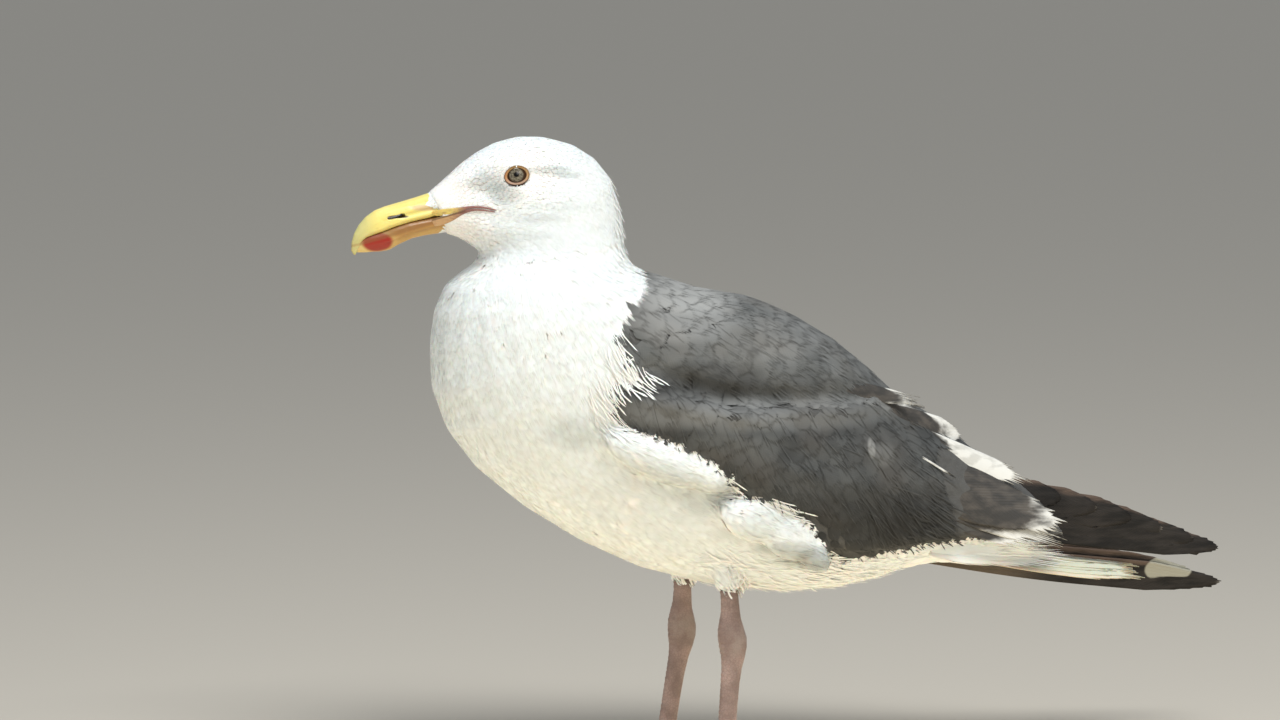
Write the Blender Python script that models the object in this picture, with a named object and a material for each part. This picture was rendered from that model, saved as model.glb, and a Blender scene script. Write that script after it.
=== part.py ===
"""A western gull standing at rest, life-size, as a still museum model.

Metres, +Z up. The bird faces -X, its left side is -Y, and the floor is z = 0.
The origin lies on the floor under the middle of the bird's length. Distances
in the tables are millimetres, and mm() turns them into metres.
"""

import math

import bmesh
import bpy
from mathutils import Matrix, Vector

MM = 0.001
GAP = 0.3                     # room between neighbours, in millimetres
CENTRING = -6.5               # moves the bird along x so that its length is centred
SHARP_ANGLE = 40.0            # edges that bend more than this many degrees look sharp

# ---------------------------------------------------------------- driving sizes

# The body's outline from bill to vent. Each station gives the back (x, z), the
# underside (x, z), the half width, and how far up its widest point sits
# (-1 underside, 0 middle, 1 back).
BODY_STATIONS = (
    ((-213.0, 324.6), (-202.6, 302.2), 9.6, 0.00),       # feathers meet the bill
    ((-202.8, 332.8), (-199.4, 301.2), 12.0, -0.02),     # forehead
    ((-190.2, 343.4), (-194.6, 299.4), 15.2, -0.08),     # lores
    ((-173.4, 352.6), (-189.6, 296.4), 18.9, -0.14),     # brow
    ((-151.5, 355.8), (-185.2, 293.4), 23.2, -0.14),     # crown
    ((-125.0, 348.4), (-182.2, 290.8), 26.8, -0.08),     # back of the crown
    ((-107.8, 331.2), (-182.6, 288.6), 30.0, 0.00),      # nape
    ((-101.4, 305.6), (-183.8, 286.2), 34.0, 0.00),       # hind neck, throat
    ((-100.8, 291.4), (-188.2, 281.2), 41.0, 0.00),       # neck
    ((-95.4, 281.8), (-201.6, 271.2), 50.0, 0.00),       # neck on the shoulders
    ((-79.0, 276.1), (-209.6, 246.0), 58.5, 0.02),       # crop
    ((-55.0, 268.1), (-207.6, 205.6), 64.0, 0.05),       # breast
    ((-28.7, 263.5), (-185.2, 169.8), 67.0, 0.10),       # shoulders
    ((-1.0, 252.0), (-135.8, 133.0), 66.0, 0.12),        # mid back
    ((28.5, 233.5), (-78.4, 106.4), 61.5, 0.10),         # belly
    ((56.0, 209.0), (-8.2, 93.9), 54.0, 0.05),           # rump
    ((80.0, 187.0), (38.6, 98.4), 45.0, -0.08),          # vent
    ((105.0, 160.0), (76.0, 110.2), 34.0, -0.18),        # tail coverts
    ((116.0, 123.0), (107.0, 110.6), 25.0, 0.00),        # root of the tail
)
BODY_FULLNESS = 0.88
BODY_RINGS = 31
BODY_SEGMENTS = 24

# Planes that part the body, each through two points of the side view.
HEAD_CUT = ((-99.0, 303.0), (-184.8, 289.6))
NECK_CUT = ((-92.0, 280.5), (-209.5, 259.5))

# Side view of the grey mantle and scapulars that lie over the trunk.
MANTLE_OUTLINE = (
    (-76.0, 300.0), (-90.0, 281.0), (-106.0, 270.0), (-117.0, 246.0), (-104.0, 227.0),
    (-66.0, 210.0), (-30.0, 202.0), (40.0, 200.0), (62.0, 192.0), (120.0, 186.0),
    (120.0, 300.0),
)
MANTLE_REACH = 110.0

# Eyes.
EYE_CENTRE = (-165.9, 15.4, 335.2)
EYE_RADIUS = 7.2
EYE_DEPTH = 6.6
EYE_SEGMENTS = (12, 8)

# The bill: back edge (x, z), lower edge (x, z) and half width, base to tip.
UPPER_BILL = (
    ((-213.4, 324.4), (-207.8, 311.9), 8.6),
    ((-221.0, 322.5), (-215.8, 310.3), 7.6),
    ((-229.2, 320.2), (-227.9, 307.8), 6.7),
    ((-236.6, 318.3), (-237.0, 304.5), 6.0),
    ((-243.6, 315.8), (-244.3, 302.1), 5.3),
    ((-249.9, 311.2), (-249.2, 300.3), 4.3),
    ((-254.2, 305.4), (-251.9, 297.4), 3.1),
    ((-256.6, 299.2), (-252.9, 294.0), 2.1),
    ((-257.0, 293.4), (-255.0, 290.8), 1.0),
)
LOWER_BILL = (
    ((-207.6, 311.5), (-203.0, 302.1), 7.6),
    ((-215.8, 309.9), (-212.0, 301.6), 6.9),
    ((-227.9, 307.4), (-224.6, 298.9), 6.0),
    ((-237.0, 304.1), (-235.3, 293.4), 5.0),
    ((-244.2, 301.6), (-243.0, 292.6), 3.9),
    ((-248.4, 299.0), (-248.0, 292.3), 2.8),
    ((-251.2, 295.4), (-250.9, 292.6), 1.2),
)
NOSTRIL_START = (-226.6, 313.6)
NOSTRIL_END = (-238.4, 311.2)
NOSTRIL_HEIGHT = 1.4
NOSTRIL_REACH = 40.0
NOSTRIL_SEGMENTS = 10
BILL_FULLNESS = 0.8           # under 1 rounds the sections' shoulders
BILL_SHUT = 0.35              # how far the widest line sits towards the shut edges
BILL_RINGS = 11
BILL_SEGMENTS = 14

# The folded wing on the left: top edge and bottom edge (x, y, z), how far it
# bows out from the straight line between them, and its thickness.
WING_STATIONS = (
    ((-127.0, -59.0, 222.0), (-127.5, -60.5, 213.0), 0.5, 4.0),     # wrist
    ((-115.0, -54.0, 229.0), (-118.0, -63.0, 201.0), 4.0, 8.0),
    ((-92.0, -52.0, 229.0), (-95.0, -64.5, 188.0), 7.0, 10.0),
    ((-64.0, -52.0, 223.0), (-69.0, -64.0, 173.0), 9.5, 11.0),      # coverts
    ((-32.0, -50.0, 219.0), (-40.0, -62.0, 150.0), 12.0, 12.0),
    ((2.0, -43.0, 217.0), (-8.0, -57.0, 126.0), 14.0, 12.0),        # secondaries
    ((32.0, -30.0, 212.0), (26.0, -50.0, 119.5), 14.0, 11.0),
    ((58.0, -16.0, 204.0), (60.0, -43.0, 123.5), 12.0, 9.0),
    ((82.0, -5.0, 194.0), (88.0, -37.0, 124.0), 10.0, 7.5),         # tertials
    ((103.0, -4.5, 175.0), (112.0, -34.0, 123.5), 7.5, 6.0),
    ((124.0, -8.0, 160.0), (132.0, -31.0, 122.5), 5.5, 4.5),
    ((142.0, -14.0, 145.0), (147.0, -28.0, 122.0), 3.0, 3.0),
    ((155.0, -20.0, 126.0), (156.0, -23.0, 121.5), 0.5, 1.6),       # tertial tips
)
WING_RINGS = 17
WING_SEGMENTS = 14
VANE_FULLNESS = 0.85          # under 1 makes a vane's two faces flatter

# Long wing feathers beyond the tertials, as the wing's table. The left ones
# lie over the tail, and the right ones hang beside and below it.
LEFT_PRIMARIES = (
    ((102.0, -4.0, 155.0), (92.0, -21.0, 125.0), 1.0, 2.6),
    ((124.0, -3.5, 155.5), (120.0, -21.0, 118.2), 1.5, 2.8),
    ((150.0, -3.5, 148.8), (148.0, -21.0, 116.2), 1.5, 2.6),
    ((180.0, -4.0, 138.4), (180.0, -20.0, 114.2), 1.5, 2.2),
    ((212.0, -5.5, 128.0), (212.0, -18.0, 112.4), 1.0, 1.8),
    ((238.0, -8.0, 119.6), (238.0, -16.0, 111.0), 0.5, 1.4),
    ((252.5, -11.0, 113.4), (254.0, -13.0, 109.8), 0.1, 0.9),
)
RIGHT_PRIMARIES = (
    ((66.0, 34.0, 128.0), (66.0, 40.0, 108.0), 1.0, 2.6),
    ((98.0, 33.0, 122.0), (98.0, 38.0, 101.6), 1.5, 2.8),
    ((132.0, 33.0, 116.5), (132.0, 37.0, 97.0), 1.5, 2.6),
    ((176.0, 33.0, 110.5), (176.0, 36.0, 91.0), 1.5, 2.2),
    ((214.0, 31.0, 104.6), (214.0, 34.0, 86.6), 1.0, 1.8),
    ((246.0, 28.0, 98.6), (246.0, 31.0, 83.2), 0.5, 1.4),
    ((266.0, 27.0, 91.0), (270.0, 28.5, 81.2), 0.1, 0.9),
)
PRIMARY_RINGS = 14
PRIMARY_SEGMENTS = 10

# The closed tail: distance along x, height of its middle, half width, thickness,
# and how far its edges droop below its middle.
TAIL_STATIONS = (
    (92.0, 115.6, 16.0, 6.2, 0.8),
    (114.0, 113.8, 20.0, 6.0, 1.6),
    (140.0, 110.2, 25.0, 5.0, 3.2),
    (170.0, 105.6, 29.0, 3.6, 5.2),
    (196.0, 102.0, 30.0, 2.4, 6.0),
    (209.0, 100.0, 26.0, 1.6, 5.6),
)
TAIL_RINGS = 10
TAIL_SEGMENTS = 18

# Legs: where each one leaves the belly, bends and lands, as (x, z), and how far
# it stands from the midline. The left leg stands a little behind the right one.
LEG_SPREAD = 27.0
LEGS = {
    "left": ((-46.5, 122.0), (-45.2, 98.0), (-42.9, 70.6), (-46.0, 25.2), (-47.4, 0.0)),
    "right": ((-58.2, 122.0), (-57.7, 98.0), (-57.7, 70.4), (-65.6, 23.0), (-68.6, 0.0)),
}
# Height above the floor, fore-and-aft depth, width, and how far the section is
# shifted backwards, from the feathers down.
THIGH_SECTIONS = (
    (122.0, 36.0, 20.0, 0.0),
    (112.0, 25.0, 16.5, 0.0),
    (104.0, 16.0, 12.8, 0.0),
    (99.0, 12.2, 10.4, 0.0),
)
TIBIA_SECTIONS = (
    (98.6, 10.4, 7.2, 0.0),
    (89.0, 10.4, 7.0, 0.0),
    (82.0, 12.6, 7.8, -0.6),
)
TARSUS_SECTIONS = (
    (81.6, 12.8, 7.9, -0.6),
    (75.0, 15.8, 9.2, -0.6),
    (69.0, 16.8, 9.4, 0.0),
    (62.0, 14.4, 8.2, 0.8),
    (54.0, 11.8, 6.8, 0.4),
    (42.0, 10.8, 6.0, 0.0),
    (24.0, 10.4, 5.8, 0.0),
    (13.0, 10.6, 6.8, 0.0),
    (4.0, 11.4, 8.6, 0.0),
)
LEG_SEGMENTS = 12
THIGH_RINGS = 5
TIBIA_RINGS = 4
TARSUS_RINGS = 11

# Feet: toe lengths from the heel pad, their angle to straight ahead (outwards is
# positive), and their width and height at root and tip.
TOES = (
    ("inner", 45.0, -27.0),
    ("middle", 56.0, 0.0),
    ("outer", 53.0, 25.0),
)
TOE_HALF_WIDTH = (4.3, 2.9)
TOE_HEIGHT = (6.6, 4.2)
TOE_TIP_SLOPE = 4.0           # distance over which a toe's ridge sinks to its tip
TOE_TIP_SHARE = 0.15          # share of the ridge that is left right at the tip
FOOT_TURN = 5.0
FOOT_MARGIN = 5.0             # degrees of foot beyond the outer and inner toes
WEB_UNDERSIDE = 0.5
WEB_THICKNESS = 1.3
WEB_BAY = 0.13
HEEL_HEIGHT = 8.4
HEEL_RADIUS = 8.5
HEEL_START = -6.5
HEEL_WIDTH = 9.0
HEEL_SLOPE = 0.75
FOOT_COLUMNS = 21
FOOT_ROWS = 7
CLAW_LENGTHS = {"inner": 6.0, "middle": 7.5, "outer": 6.0}
CLAW_ROOT_HEIGHT = 2.3
CLAW_RADIUS = 1.5
CLAW_DROP = 1.2               # how far a claw's tip bends down
CLAW_TAPER = 0.78
CLAW_FLATNESS = 0.75          # width over height
CLAW_RINGS = 5
CLAW_SEGMENTS = 6

# The hind toe: length with its claw, height on the leg, place behind the leg's
# middle and towards the other leg, root radius, and bend.
HALLUX_LENGTH = 11.0
HALLUX_HEIGHT = 12.0
HALLUX_BACK = 5.8
HALLUX_INWARDS = 1.5
HALLUX_RADIUS = 2.3
HALLUX_DROP = 3.2
HALLUX_SLANT = 0.25           # how much it points inwards and downwards

# Colours as linear RGB.
WHITE = (0.86, 0.86, 0.83)
SLATE = (0.090, 0.092, 0.086)
DARK_SLATE = (0.055, 0.054, 0.050)
BLACKISH = (0.024, 0.022, 0.020)
BILL_YELLOW = (0.80, 0.60, 0.16)
BILL_ORANGE = (0.66, 0.36, 0.11)
EYE_COLOUR = (0.10, 0.08, 0.06)
LEG_PINK = (0.36, 0.24, 0.20)
CLAW_COLOUR = (0.05, 0.04, 0.035)


# ------------------------------------------------------------------ small tools

def mm(*values):
    """A point given in millimetres, in metres."""
    return Vector(values) * MM


def clear_scene():
    for thing in list(bpy.data.objects):
        bpy.data.objects.remove(thing, do_unlink=True)


def make_material(name, colour, roughness):
    material = bpy.data.materials.new(name)
    material.use_nodes = True
    shader = material.node_tree.nodes["Principled BSDF"]
    shader.inputs["Base Color"].default_value = (*colour, 1.0)
    shader.inputs["Roughness"].default_value = roughness
    shader.inputs["Metallic"].default_value = 0.0
    return material


def blend_rows(rows, place):
    """A smooth value between rows of numbers, where place counts rows."""
    last = len(rows) - 1
    index = min(int(place), last - 1)
    t = place - index
    four = [rows[min(max(index + step, 0), last)] for step in (-1, 0, 1, 2)]
    mixed = []
    for before, start, end, after in zip(*four):
        rise = (end - before) / 2.0
        fall = (after - start) / 2.0
        bend = 2.0 * (start - end) + rise + fall
        lift = 3.0 * (end - start) - 2.0 * rise - fall
        mixed.append(((bend * t + lift) * t + rise) * t + start)
    return mixed


def spread_rows(rows, count):
    """The rows read at count even steps."""
    steps = [step * (len(rows) - 1) / (count - 1) for step in range(count)]
    return [blend_rows(rows, place) for place in steps]


def signed_power(value, power):
    return math.copysign(abs(value) ** power, value)


def add_ring(bm, segments, place):
    """One ring whose point at each turn is given by place(turn)."""
    made = bmesh.ops.create_circle(bm, segments=segments, radius=1.0)
    ring = made["verts"]
    for number, vertex in enumerate(ring):
        vertex.co = place(math.tau * number / segments)
    return ring


def ring_edges(ring):
    """The edges from each point of a ring to the next."""
    edges = []
    for vertex, following in zip(ring, ring[1:] + ring[:1]):
        shared = set(vertex.link_edges) & set(following.link_edges)
        edges.append(shared.pop())
    return edges


def loft(segments, places):
    """A closed bmesh through rings, with a flat cap on each end."""
    bm = bmesh.new()
    rings = [add_ring(bm, segments, place) for place in places]
    loops = [ring_edges(ring) for ring in rings]
    for first, second in zip(loops, loops[1:]):
        bmesh.ops.bridge_loops(bm, edges=first + second)
    bmesh.ops.contextual_create(bm, geom=loops[0])
    bmesh.ops.contextual_create(bm, geom=loops[-1])
    bmesh.ops.recalc_face_normals(bm, faces=bm.faces)
    return bm


def add_object(name, bm, material, parent=None):
    mesh = bpy.data.meshes.new(name)
    bmesh.ops.triangulate(bm, faces=bm.faces)
    bm.to_mesh(mesh)
    bm.free()
    mesh.materials.append(material)
    thing = bpy.data.objects.new(name, mesh)
    bpy.context.collection.objects.link(thing)
    thing.parent = parent
    mesh.shade_smooth()
    mesh.set_sharp_from_angle(angle=math.radians(SHARP_ANGLE))
    return thing


def grown(bm, distance):
    """A copy of a closed bmesh with its skin moved outwards."""
    copy = bm.copy()
    copy.normal_update()
    moves = [vertex.normal * vertex.calc_shell_factor() for vertex in copy.verts]
    for vertex, move in zip(copy.verts, moves):
        vertex.co += move * distance * MM
    return copy


def boolean(bm, cutter_bm, operation):
    """The bmesh cut by, or shared with, another one; both are used up."""
    blank = bpy.data.materials.new("cutter")
    target = add_object("target", bm, blank)
    cutter = add_object("cutter", cutter_bm, blank)
    modifier = target.modifiers.new("cut", "BOOLEAN")
    modifier.operation = operation
    modifier.solver = "EXACT"
    modifier.object = cutter
    view = bpy.context.evaluated_depsgraph_get()
    result = bmesh.new()
    result.from_object(target, view)
    for thing in (target, cutter):
        mesh = thing.data
        bpy.data.objects.remove(thing, do_unlink=True)
        bpy.data.meshes.remove(mesh)
    bpy.data.materials.remove(blank)
    bmesh.ops.dissolve_degenerate(result, dist=1e-6, edges=result.edges)
    return keep_largest(result)


def islands(bm):
    """The connected sets of faces, largest first."""
    left = set(bm.faces)
    found = []
    while left:
        front = [left.pop()]
        group = list(front)
        while front:
            face = front.pop()
            for edge in face.edges:
                for other in edge.link_faces:
                    if other in left:
                        left.remove(other)
                        front.append(other)
                        group.append(other)
        found.append(group)
    return sorted(found, key=len, reverse=True)


def keep_largest(bm):
    """Only the largest connected shell, which drops a cut's crumbs."""
    for group in islands(bm)[1:]:
        bmesh.ops.delete(bm, geom=group, context="FACES")
    return bm


def plane_side(bm, plane, offset, keep_front):
    """The part of the bmesh on one side of a plane seen edge-on from the side.

    The plane passes through two points (x, z), moved forwards by offset, and
    its front side is the one towards the bill.
    """
    high, low = plane
    run = Vector((low[0] - high[0], 0.0, low[1] - high[1])).normalized()
    front = Vector((run.z, 0.0, -run.x))
    if front.z < 0.0:
        front.negate()
    middle = mm((high[0] + low[0]) / 2.0, 0.0, (high[1] + low[1]) / 2.0)
    part = bm.copy()
    geometry = part.verts[:] + part.edges[:] + part.faces[:]
    cut = bmesh.ops.bisect_plane(
        part, geom=geometry, dist=1e-7, plane_co=middle + front * offset * MM,
        plane_no=front, clear_inner=keep_front, clear_outer=not keep_front)
    rim = [item for item in cut["geom_cut"] if isinstance(item, bmesh.types.BMEdge)]
    bmesh.ops.contextual_create(part, geom=rim)
    bmesh.ops.recalc_face_normals(part, faces=part.faces)
    return part


def mirrored(rows):
    """A wing's table for the other side of the bird."""
    flipped = []
    for top, bottom, bow, thickness in rows:
        flipped.append(((top[0], -top[1], top[2]), (bottom[0], -bottom[1], bottom[2]),
                        bow, thickness))
    return tuple(flipped)


# ------------------------------------------------------------------------- body

def body_ring(row):
    """A section across the body between its back and its underside."""
    back_x, back_z, under_x, under_z, half_width, widest = row

    def place(turn):
        rise = math.cos(turn)
        level = (rise + widest * (1.0 - rise * rise)) / 2.0
        x = (back_x + under_x) / 2.0 + (back_x - under_x) * level
        z = (back_z + under_z) / 2.0 + (back_z - under_z) * level
        y = half_width * signed_power(math.sin(turn), BODY_FULLNESS)
        return mm(x, y, z)

    return place


def make_body():
    """The whole feathered body in one piece, before it is parted."""
    flat = [(*back, *under, half, widest) for back, under, half, widest in BODY_STATIONS]
    rows = spread_rows(flat, BODY_RINGS)
    return loft(BODY_SEGMENTS, [body_ring(row) for row in rows])


def make_eye(side):
    """A ball a little flatter across the head than it is high."""
    bm = bmesh.new()
    around, down = EYE_SEGMENTS
    bmesh.ops.create_uvsphere(bm, u_segments=around, v_segments=down, radius=1.0)
    scale = Matrix.Diagonal((*mm(EYE_RADIUS, EYE_RADIUS, EYE_DEPTH), 1.0))
    turn = Matrix.Rotation(math.radians(90.0), 4, "X")
    x, y, z = EYE_CENTRE
    bmesh.ops.transform(bm, matrix=turn @ scale, verts=bm.verts)
    bmesh.ops.translate(bm, vec=mm(x, side * y, z), verts=bm.verts)
    return bm


def make_mantle_block():
    """A block as wide as the bird with the mantle's outline, to share with the trunk."""
    bm = bmesh.new()
    points = [bm.verts.new(mm(x, -MANTLE_REACH, z)) for x, z in MANTLE_OUTLINE]
    face = bm.faces.new(points)
    grown_face = bmesh.ops.extrude_face_region(bm, geom=[face])
    moved = [item for item in grown_face["geom"] if isinstance(item, bmesh.types.BMVert)]
    bmesh.ops.translate(bm, vec=mm(0.0, 2.0 * MANTLE_REACH, 0.0), verts=moved)
    bmesh.ops.recalc_face_normals(bm, faces=bm.faces)
    return bm


# ------------------------------------------------------------------------- bill

def bill_ring(row):
    """A section of the bill: round over the outer edge, flatter where it shuts."""
    outer_x, outer_z, shut_x, shut_z, half_width = row

    def place(turn):
        rise = signed_power(math.cos(turn), BILL_FULLNESS)
        level = (rise - BILL_SHUT * (1.0 - rise * rise)) / 2.0
        x = (outer_x + shut_x) / 2.0 + (outer_x - shut_x) * level
        z = (outer_z + shut_z) / 2.0 + (outer_z - shut_z) * level
        return mm(x, half_width * math.sin(turn), z)

    return place


def make_bill(stations, upper):
    """The upper or the lower half of the bill, with a flat base."""
    rows = []
    for high, low, half_width in stations:
        outer, shut = (high, low) if upper else (low, high)
        rows.append((*outer, *shut, half_width))
    return loft(BILL_SEGMENTS, [bill_ring(row) for row in spread_rows(rows, BILL_RINGS)])


def make_nostril_cutter():
    """A slot through the bill from side to side."""
    start = mm(NOSTRIL_START[0], 0.0, NOSTRIL_START[1])
    end = mm(NOSTRIL_END[0], 0.0, NOSTRIL_END[1])
    length = (end - start).length
    slope = math.atan2(end.z - start.z, end.x - start.x)
    bm = bmesh.new()
    bmesh.ops.create_cone(
        bm, cap_ends=True, segments=NOSTRIL_SEGMENTS, radius1=0.5, radius2=0.5, depth=1.0)
    scale = Matrix.Diagonal((length, NOSTRIL_HEIGHT * MM, NOSTRIL_REACH * MM, 1.0))
    lay = Matrix.Rotation(math.radians(90.0), 4, "X")
    tilt = Matrix.Rotation(-slope, 4, "Y")
    place = Matrix.Translation((start + end) / 2.0)
    bmesh.ops.transform(bm, matrix=place @ tilt @ lay @ scale, verts=bm.verts)
    bmesh.ops.recalc_face_normals(bm, faces=bm.faces)
    return bm


# ------------------------------------------------------------- wings and tail

def vane_ring(row):
    """A bowed, thin section between a top edge and a bottom edge."""
    top = mm(*row[0:3])
    bottom = mm(*row[3:6])
    bow, thickness, side = row[6] * MM, row[7] * MM, row[8]
    chord = (top - bottom).normalized()
    out = Vector((0.0, side, 0.0))
    out = (out - chord * out.dot(chord)).normalized()

    def place(turn):
        share = (1.0 + math.cos(turn)) / 2.0
        lift = bow * 4.0 * share * (1.0 - share)
        lift += thickness / 2.0 * signed_power(math.sin(turn), VANE_FULLNESS)
        return bottom.lerp(top, share) + out * lift

    return place


def make_vane(stations, side, rings, segments):
    """A folded wing or a stack of long feathers, on the left (-1) or right (1)."""
    rows = [(*top, *bottom, bow, thick, side) for top, bottom, bow, thick in stations]
    return loft(segments, [vane_ring(row) for row in spread_rows(rows, rings)])


def tail_ring(row):
    """A flat section whose edges droop."""
    x, z, half_width, thickness, droop = row

    def place(turn):
        across = math.cos(turn)
        lift = thickness / 2.0 * signed_power(math.sin(turn), VANE_FULLNESS)
        return mm(x, half_width * across, z - droop * across * across + lift)

    return place


def make_tail():
    """The closed tail, one thin sheet that is arched from side to side."""
    rows = spread_rows(TAIL_STATIONS, TAIL_RINGS)
    return loft(TAIL_SEGMENTS, [tail_ring(row) for row in rows])


# ------------------------------------------------------------------------- legs

def leg_x(leg, height):
    """Where the leg's middle lies along x at a height above the floor."""
    for (x_high, z_high), (x_low, z_low) in zip(leg, leg[1:]):
        if height >= z_low:
            share = (height - z_low) / (z_high - z_low)
            return x_low + (x_high - x_low) * share
    return leg[-1][0]


def make_leg_part(leg, side, sections, rings):
    """A length of one leg through level oval sections."""
    places = []
    for height, depth, width, back in spread_rows(sections, rings):
        centre = mm(leg_x(leg, height) + back, side * LEG_SPREAD, height)
        half = (depth / 2.0 * MM, width / 2.0 * MM)

        def place(turn, centre=centre, half=half):
            return centre + Vector((half[0] * math.cos(turn), half[1] * math.sin(turn), 0.0))

        places.append(place)
    return loft(LEG_SEGMENTS, places)


def toe_reach(angle):
    """How far the foot reaches at an angle: the toes, with shallow bays between."""
    for (_, near, start), (_, far, end) in zip(TOES, TOES[1:]):
        if angle <= end:
            share = (angle - start) / (end - start)
            bay = 1.0 - WEB_BAY * math.sin(math.pi * min(max(share, 0.0), 1.0))
            return (near + (far - near) * share) * bay
    return TOES[-1][1]


def toe_rise(x, y, reach):
    """Height of the toes' ridges over the web at a place on the foot."""
    best = 0.0
    for _, length, angle in TOES:
        heading = Vector((math.cos(math.radians(angle)), math.sin(math.radians(angle))))
        along = x * heading.x + y * heading.y
        across = abs(x * heading.y - y * heading.x)
        share = min(max(along / length, 0.0), 1.0)
        half = TOE_HALF_WIDTH[0] + (TOE_HALF_WIDTH[1] - TOE_HALF_WIDTH[0]) * share
        height = TOE_HEIGHT[0] + (TOE_HEIGHT[1] - TOE_HEIGHT[0]) * share
        if across < half:
            best = max(best, height * math.sqrt(1.0 - (across / half) ** 2))
    heel = HEEL_HEIGHT * math.exp(-((x * x + y * y) / HEEL_RADIUS ** 2) ** 1.5)
    if x < 0.0:
        heel *= 1.0 - HEEL_SLOPE * (x / HEEL_START) ** 2
    edge = min(1.0, (reach - math.hypot(x, y)) / TOE_TIP_SLOPE)
    return max(best * math.sqrt(max(edge, TOE_TIP_SHARE)), heel)


def foot_place(leg, side):
    """The matrix that stands a foot, toes ahead, under its leg."""
    turn = Matrix.Rotation(math.radians(180.0 - side * FOOT_TURN), 4, "Z")
    mirror = Matrix.Diagonal((1.0, -side, 1.0, 1.0))
    return Matrix.Translation(mm(leg[-1][0], side * LEG_SPREAD, 0.0)) @ turn @ mirror


def make_foot(leg, side):
    """Three toes and their webs as one sheet, thick along the toes, flat below."""
    bm = bmesh.new()
    bmesh.ops.create_grid(bm, x_segments=FOOT_ROWS, y_segments=FOOT_COLUMNS, size=0.5)
    start, end = TOES[0][2] - FOOT_MARGIN, TOES[-1][2] + FOOT_MARGIN
    heights = {}
    for vertex in bm.verts:
        share, fan = vertex.co.x + 0.5, vertex.co.y + 0.5
        angle = start + (end - start) * fan
        reach = toe_reach(angle)
        distance = reach * share
        turned = math.radians(angle)
        x = HEEL_START * (1.0 - share) ** 2 + distance * math.cos(turned)
        y = distance * math.sin(turned) + (fan - 0.5) * HEEL_WIDTH * (1.0 - share) ** 2
        rise = toe_rise(x, y, reach)
        heights[vertex] = max(rise, WEB_UNDERSIDE + WEB_THICKNESS)
        vertex.co = mm(x, y, 0.0 if rise > WEB_THICKNESS else WEB_UNDERSIDE)
    sheet = bmesh.ops.extrude_face_region(bm, geom=bm.faces[:])
    tops = [item for item in sheet["geom"] if isinstance(item, bmesh.types.BMVert)]
    bottoms = list(heights)
    lookup = {(round(v.co.x, 7), round(v.co.y, 7)): heights[v] for v in bottoms}
    for vertex in tops:
        vertex.co.z = lookup[(round(vertex.co.x, 7), round(vertex.co.y, 7))] * MM
    bmesh.ops.transform(bm, matrix=foot_place(leg, side), verts=bm.verts)
    bmesh.ops.recalc_face_normals(bm, faces=bm.faces)
    return bm


def make_claw(length, radius, root, heading, lean):
    """A short curved horn that leaves its root along heading and bends down."""
    places = []
    for step in range(CLAW_RINGS):
        share = step / (CLAW_RINGS - 1)
        along = length * share
        drop = lean * share * share
        thick = radius * (1.0 - CLAW_TAPER * share ** 1.5)
        centre = root + heading * along * MM - Vector((0.0, 0.0, drop * MM))
        sideways = Vector((-heading.y, heading.x, 0.0)).normalized()

        def place(turn, centre=centre, sideways=sideways, thick=thick):
            across = sideways * math.cos(turn) * CLAW_FLATNESS
            return centre + (across + Vector((0.0, 0.0, math.sin(turn)))) * thick * MM

        places.append(place)
    return loft(CLAW_SEGMENTS, places)


def make_toe_claw(leg, side, toe):
    """The claw that leaves the tip of one toe."""
    name, length, angle = toe
    turned = math.radians(angle)
    heading = Vector((math.cos(turned), math.sin(turned), 0.0))
    place = foot_place(leg, side)
    root = place @ (heading * (length + GAP) * MM + mm(0.0, 0.0, CLAW_ROOT_HEIGHT))
    ahead = (place.to_3x3() @ heading).normalized()
    return make_claw(CLAW_LENGTHS[name], CLAW_RADIUS, root, ahead, CLAW_DROP)


def make_hallux(leg, side):
    """The small raised hind toe with its claw."""
    x = leg_x(leg, HALLUX_HEIGHT) + HALLUX_BACK
    root = mm(x, side * (LEG_SPREAD - HALLUX_INWARDS), HALLUX_HEIGHT)
    heading = Vector((1.0, -HALLUX_SLANT * side, -HALLUX_SLANT)).normalized()
    return make_claw(HALLUX_LENGTH, HALLUX_RADIUS, root, heading, HALLUX_DROP)


# --------------------------------------------------------------------- assembly

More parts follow.
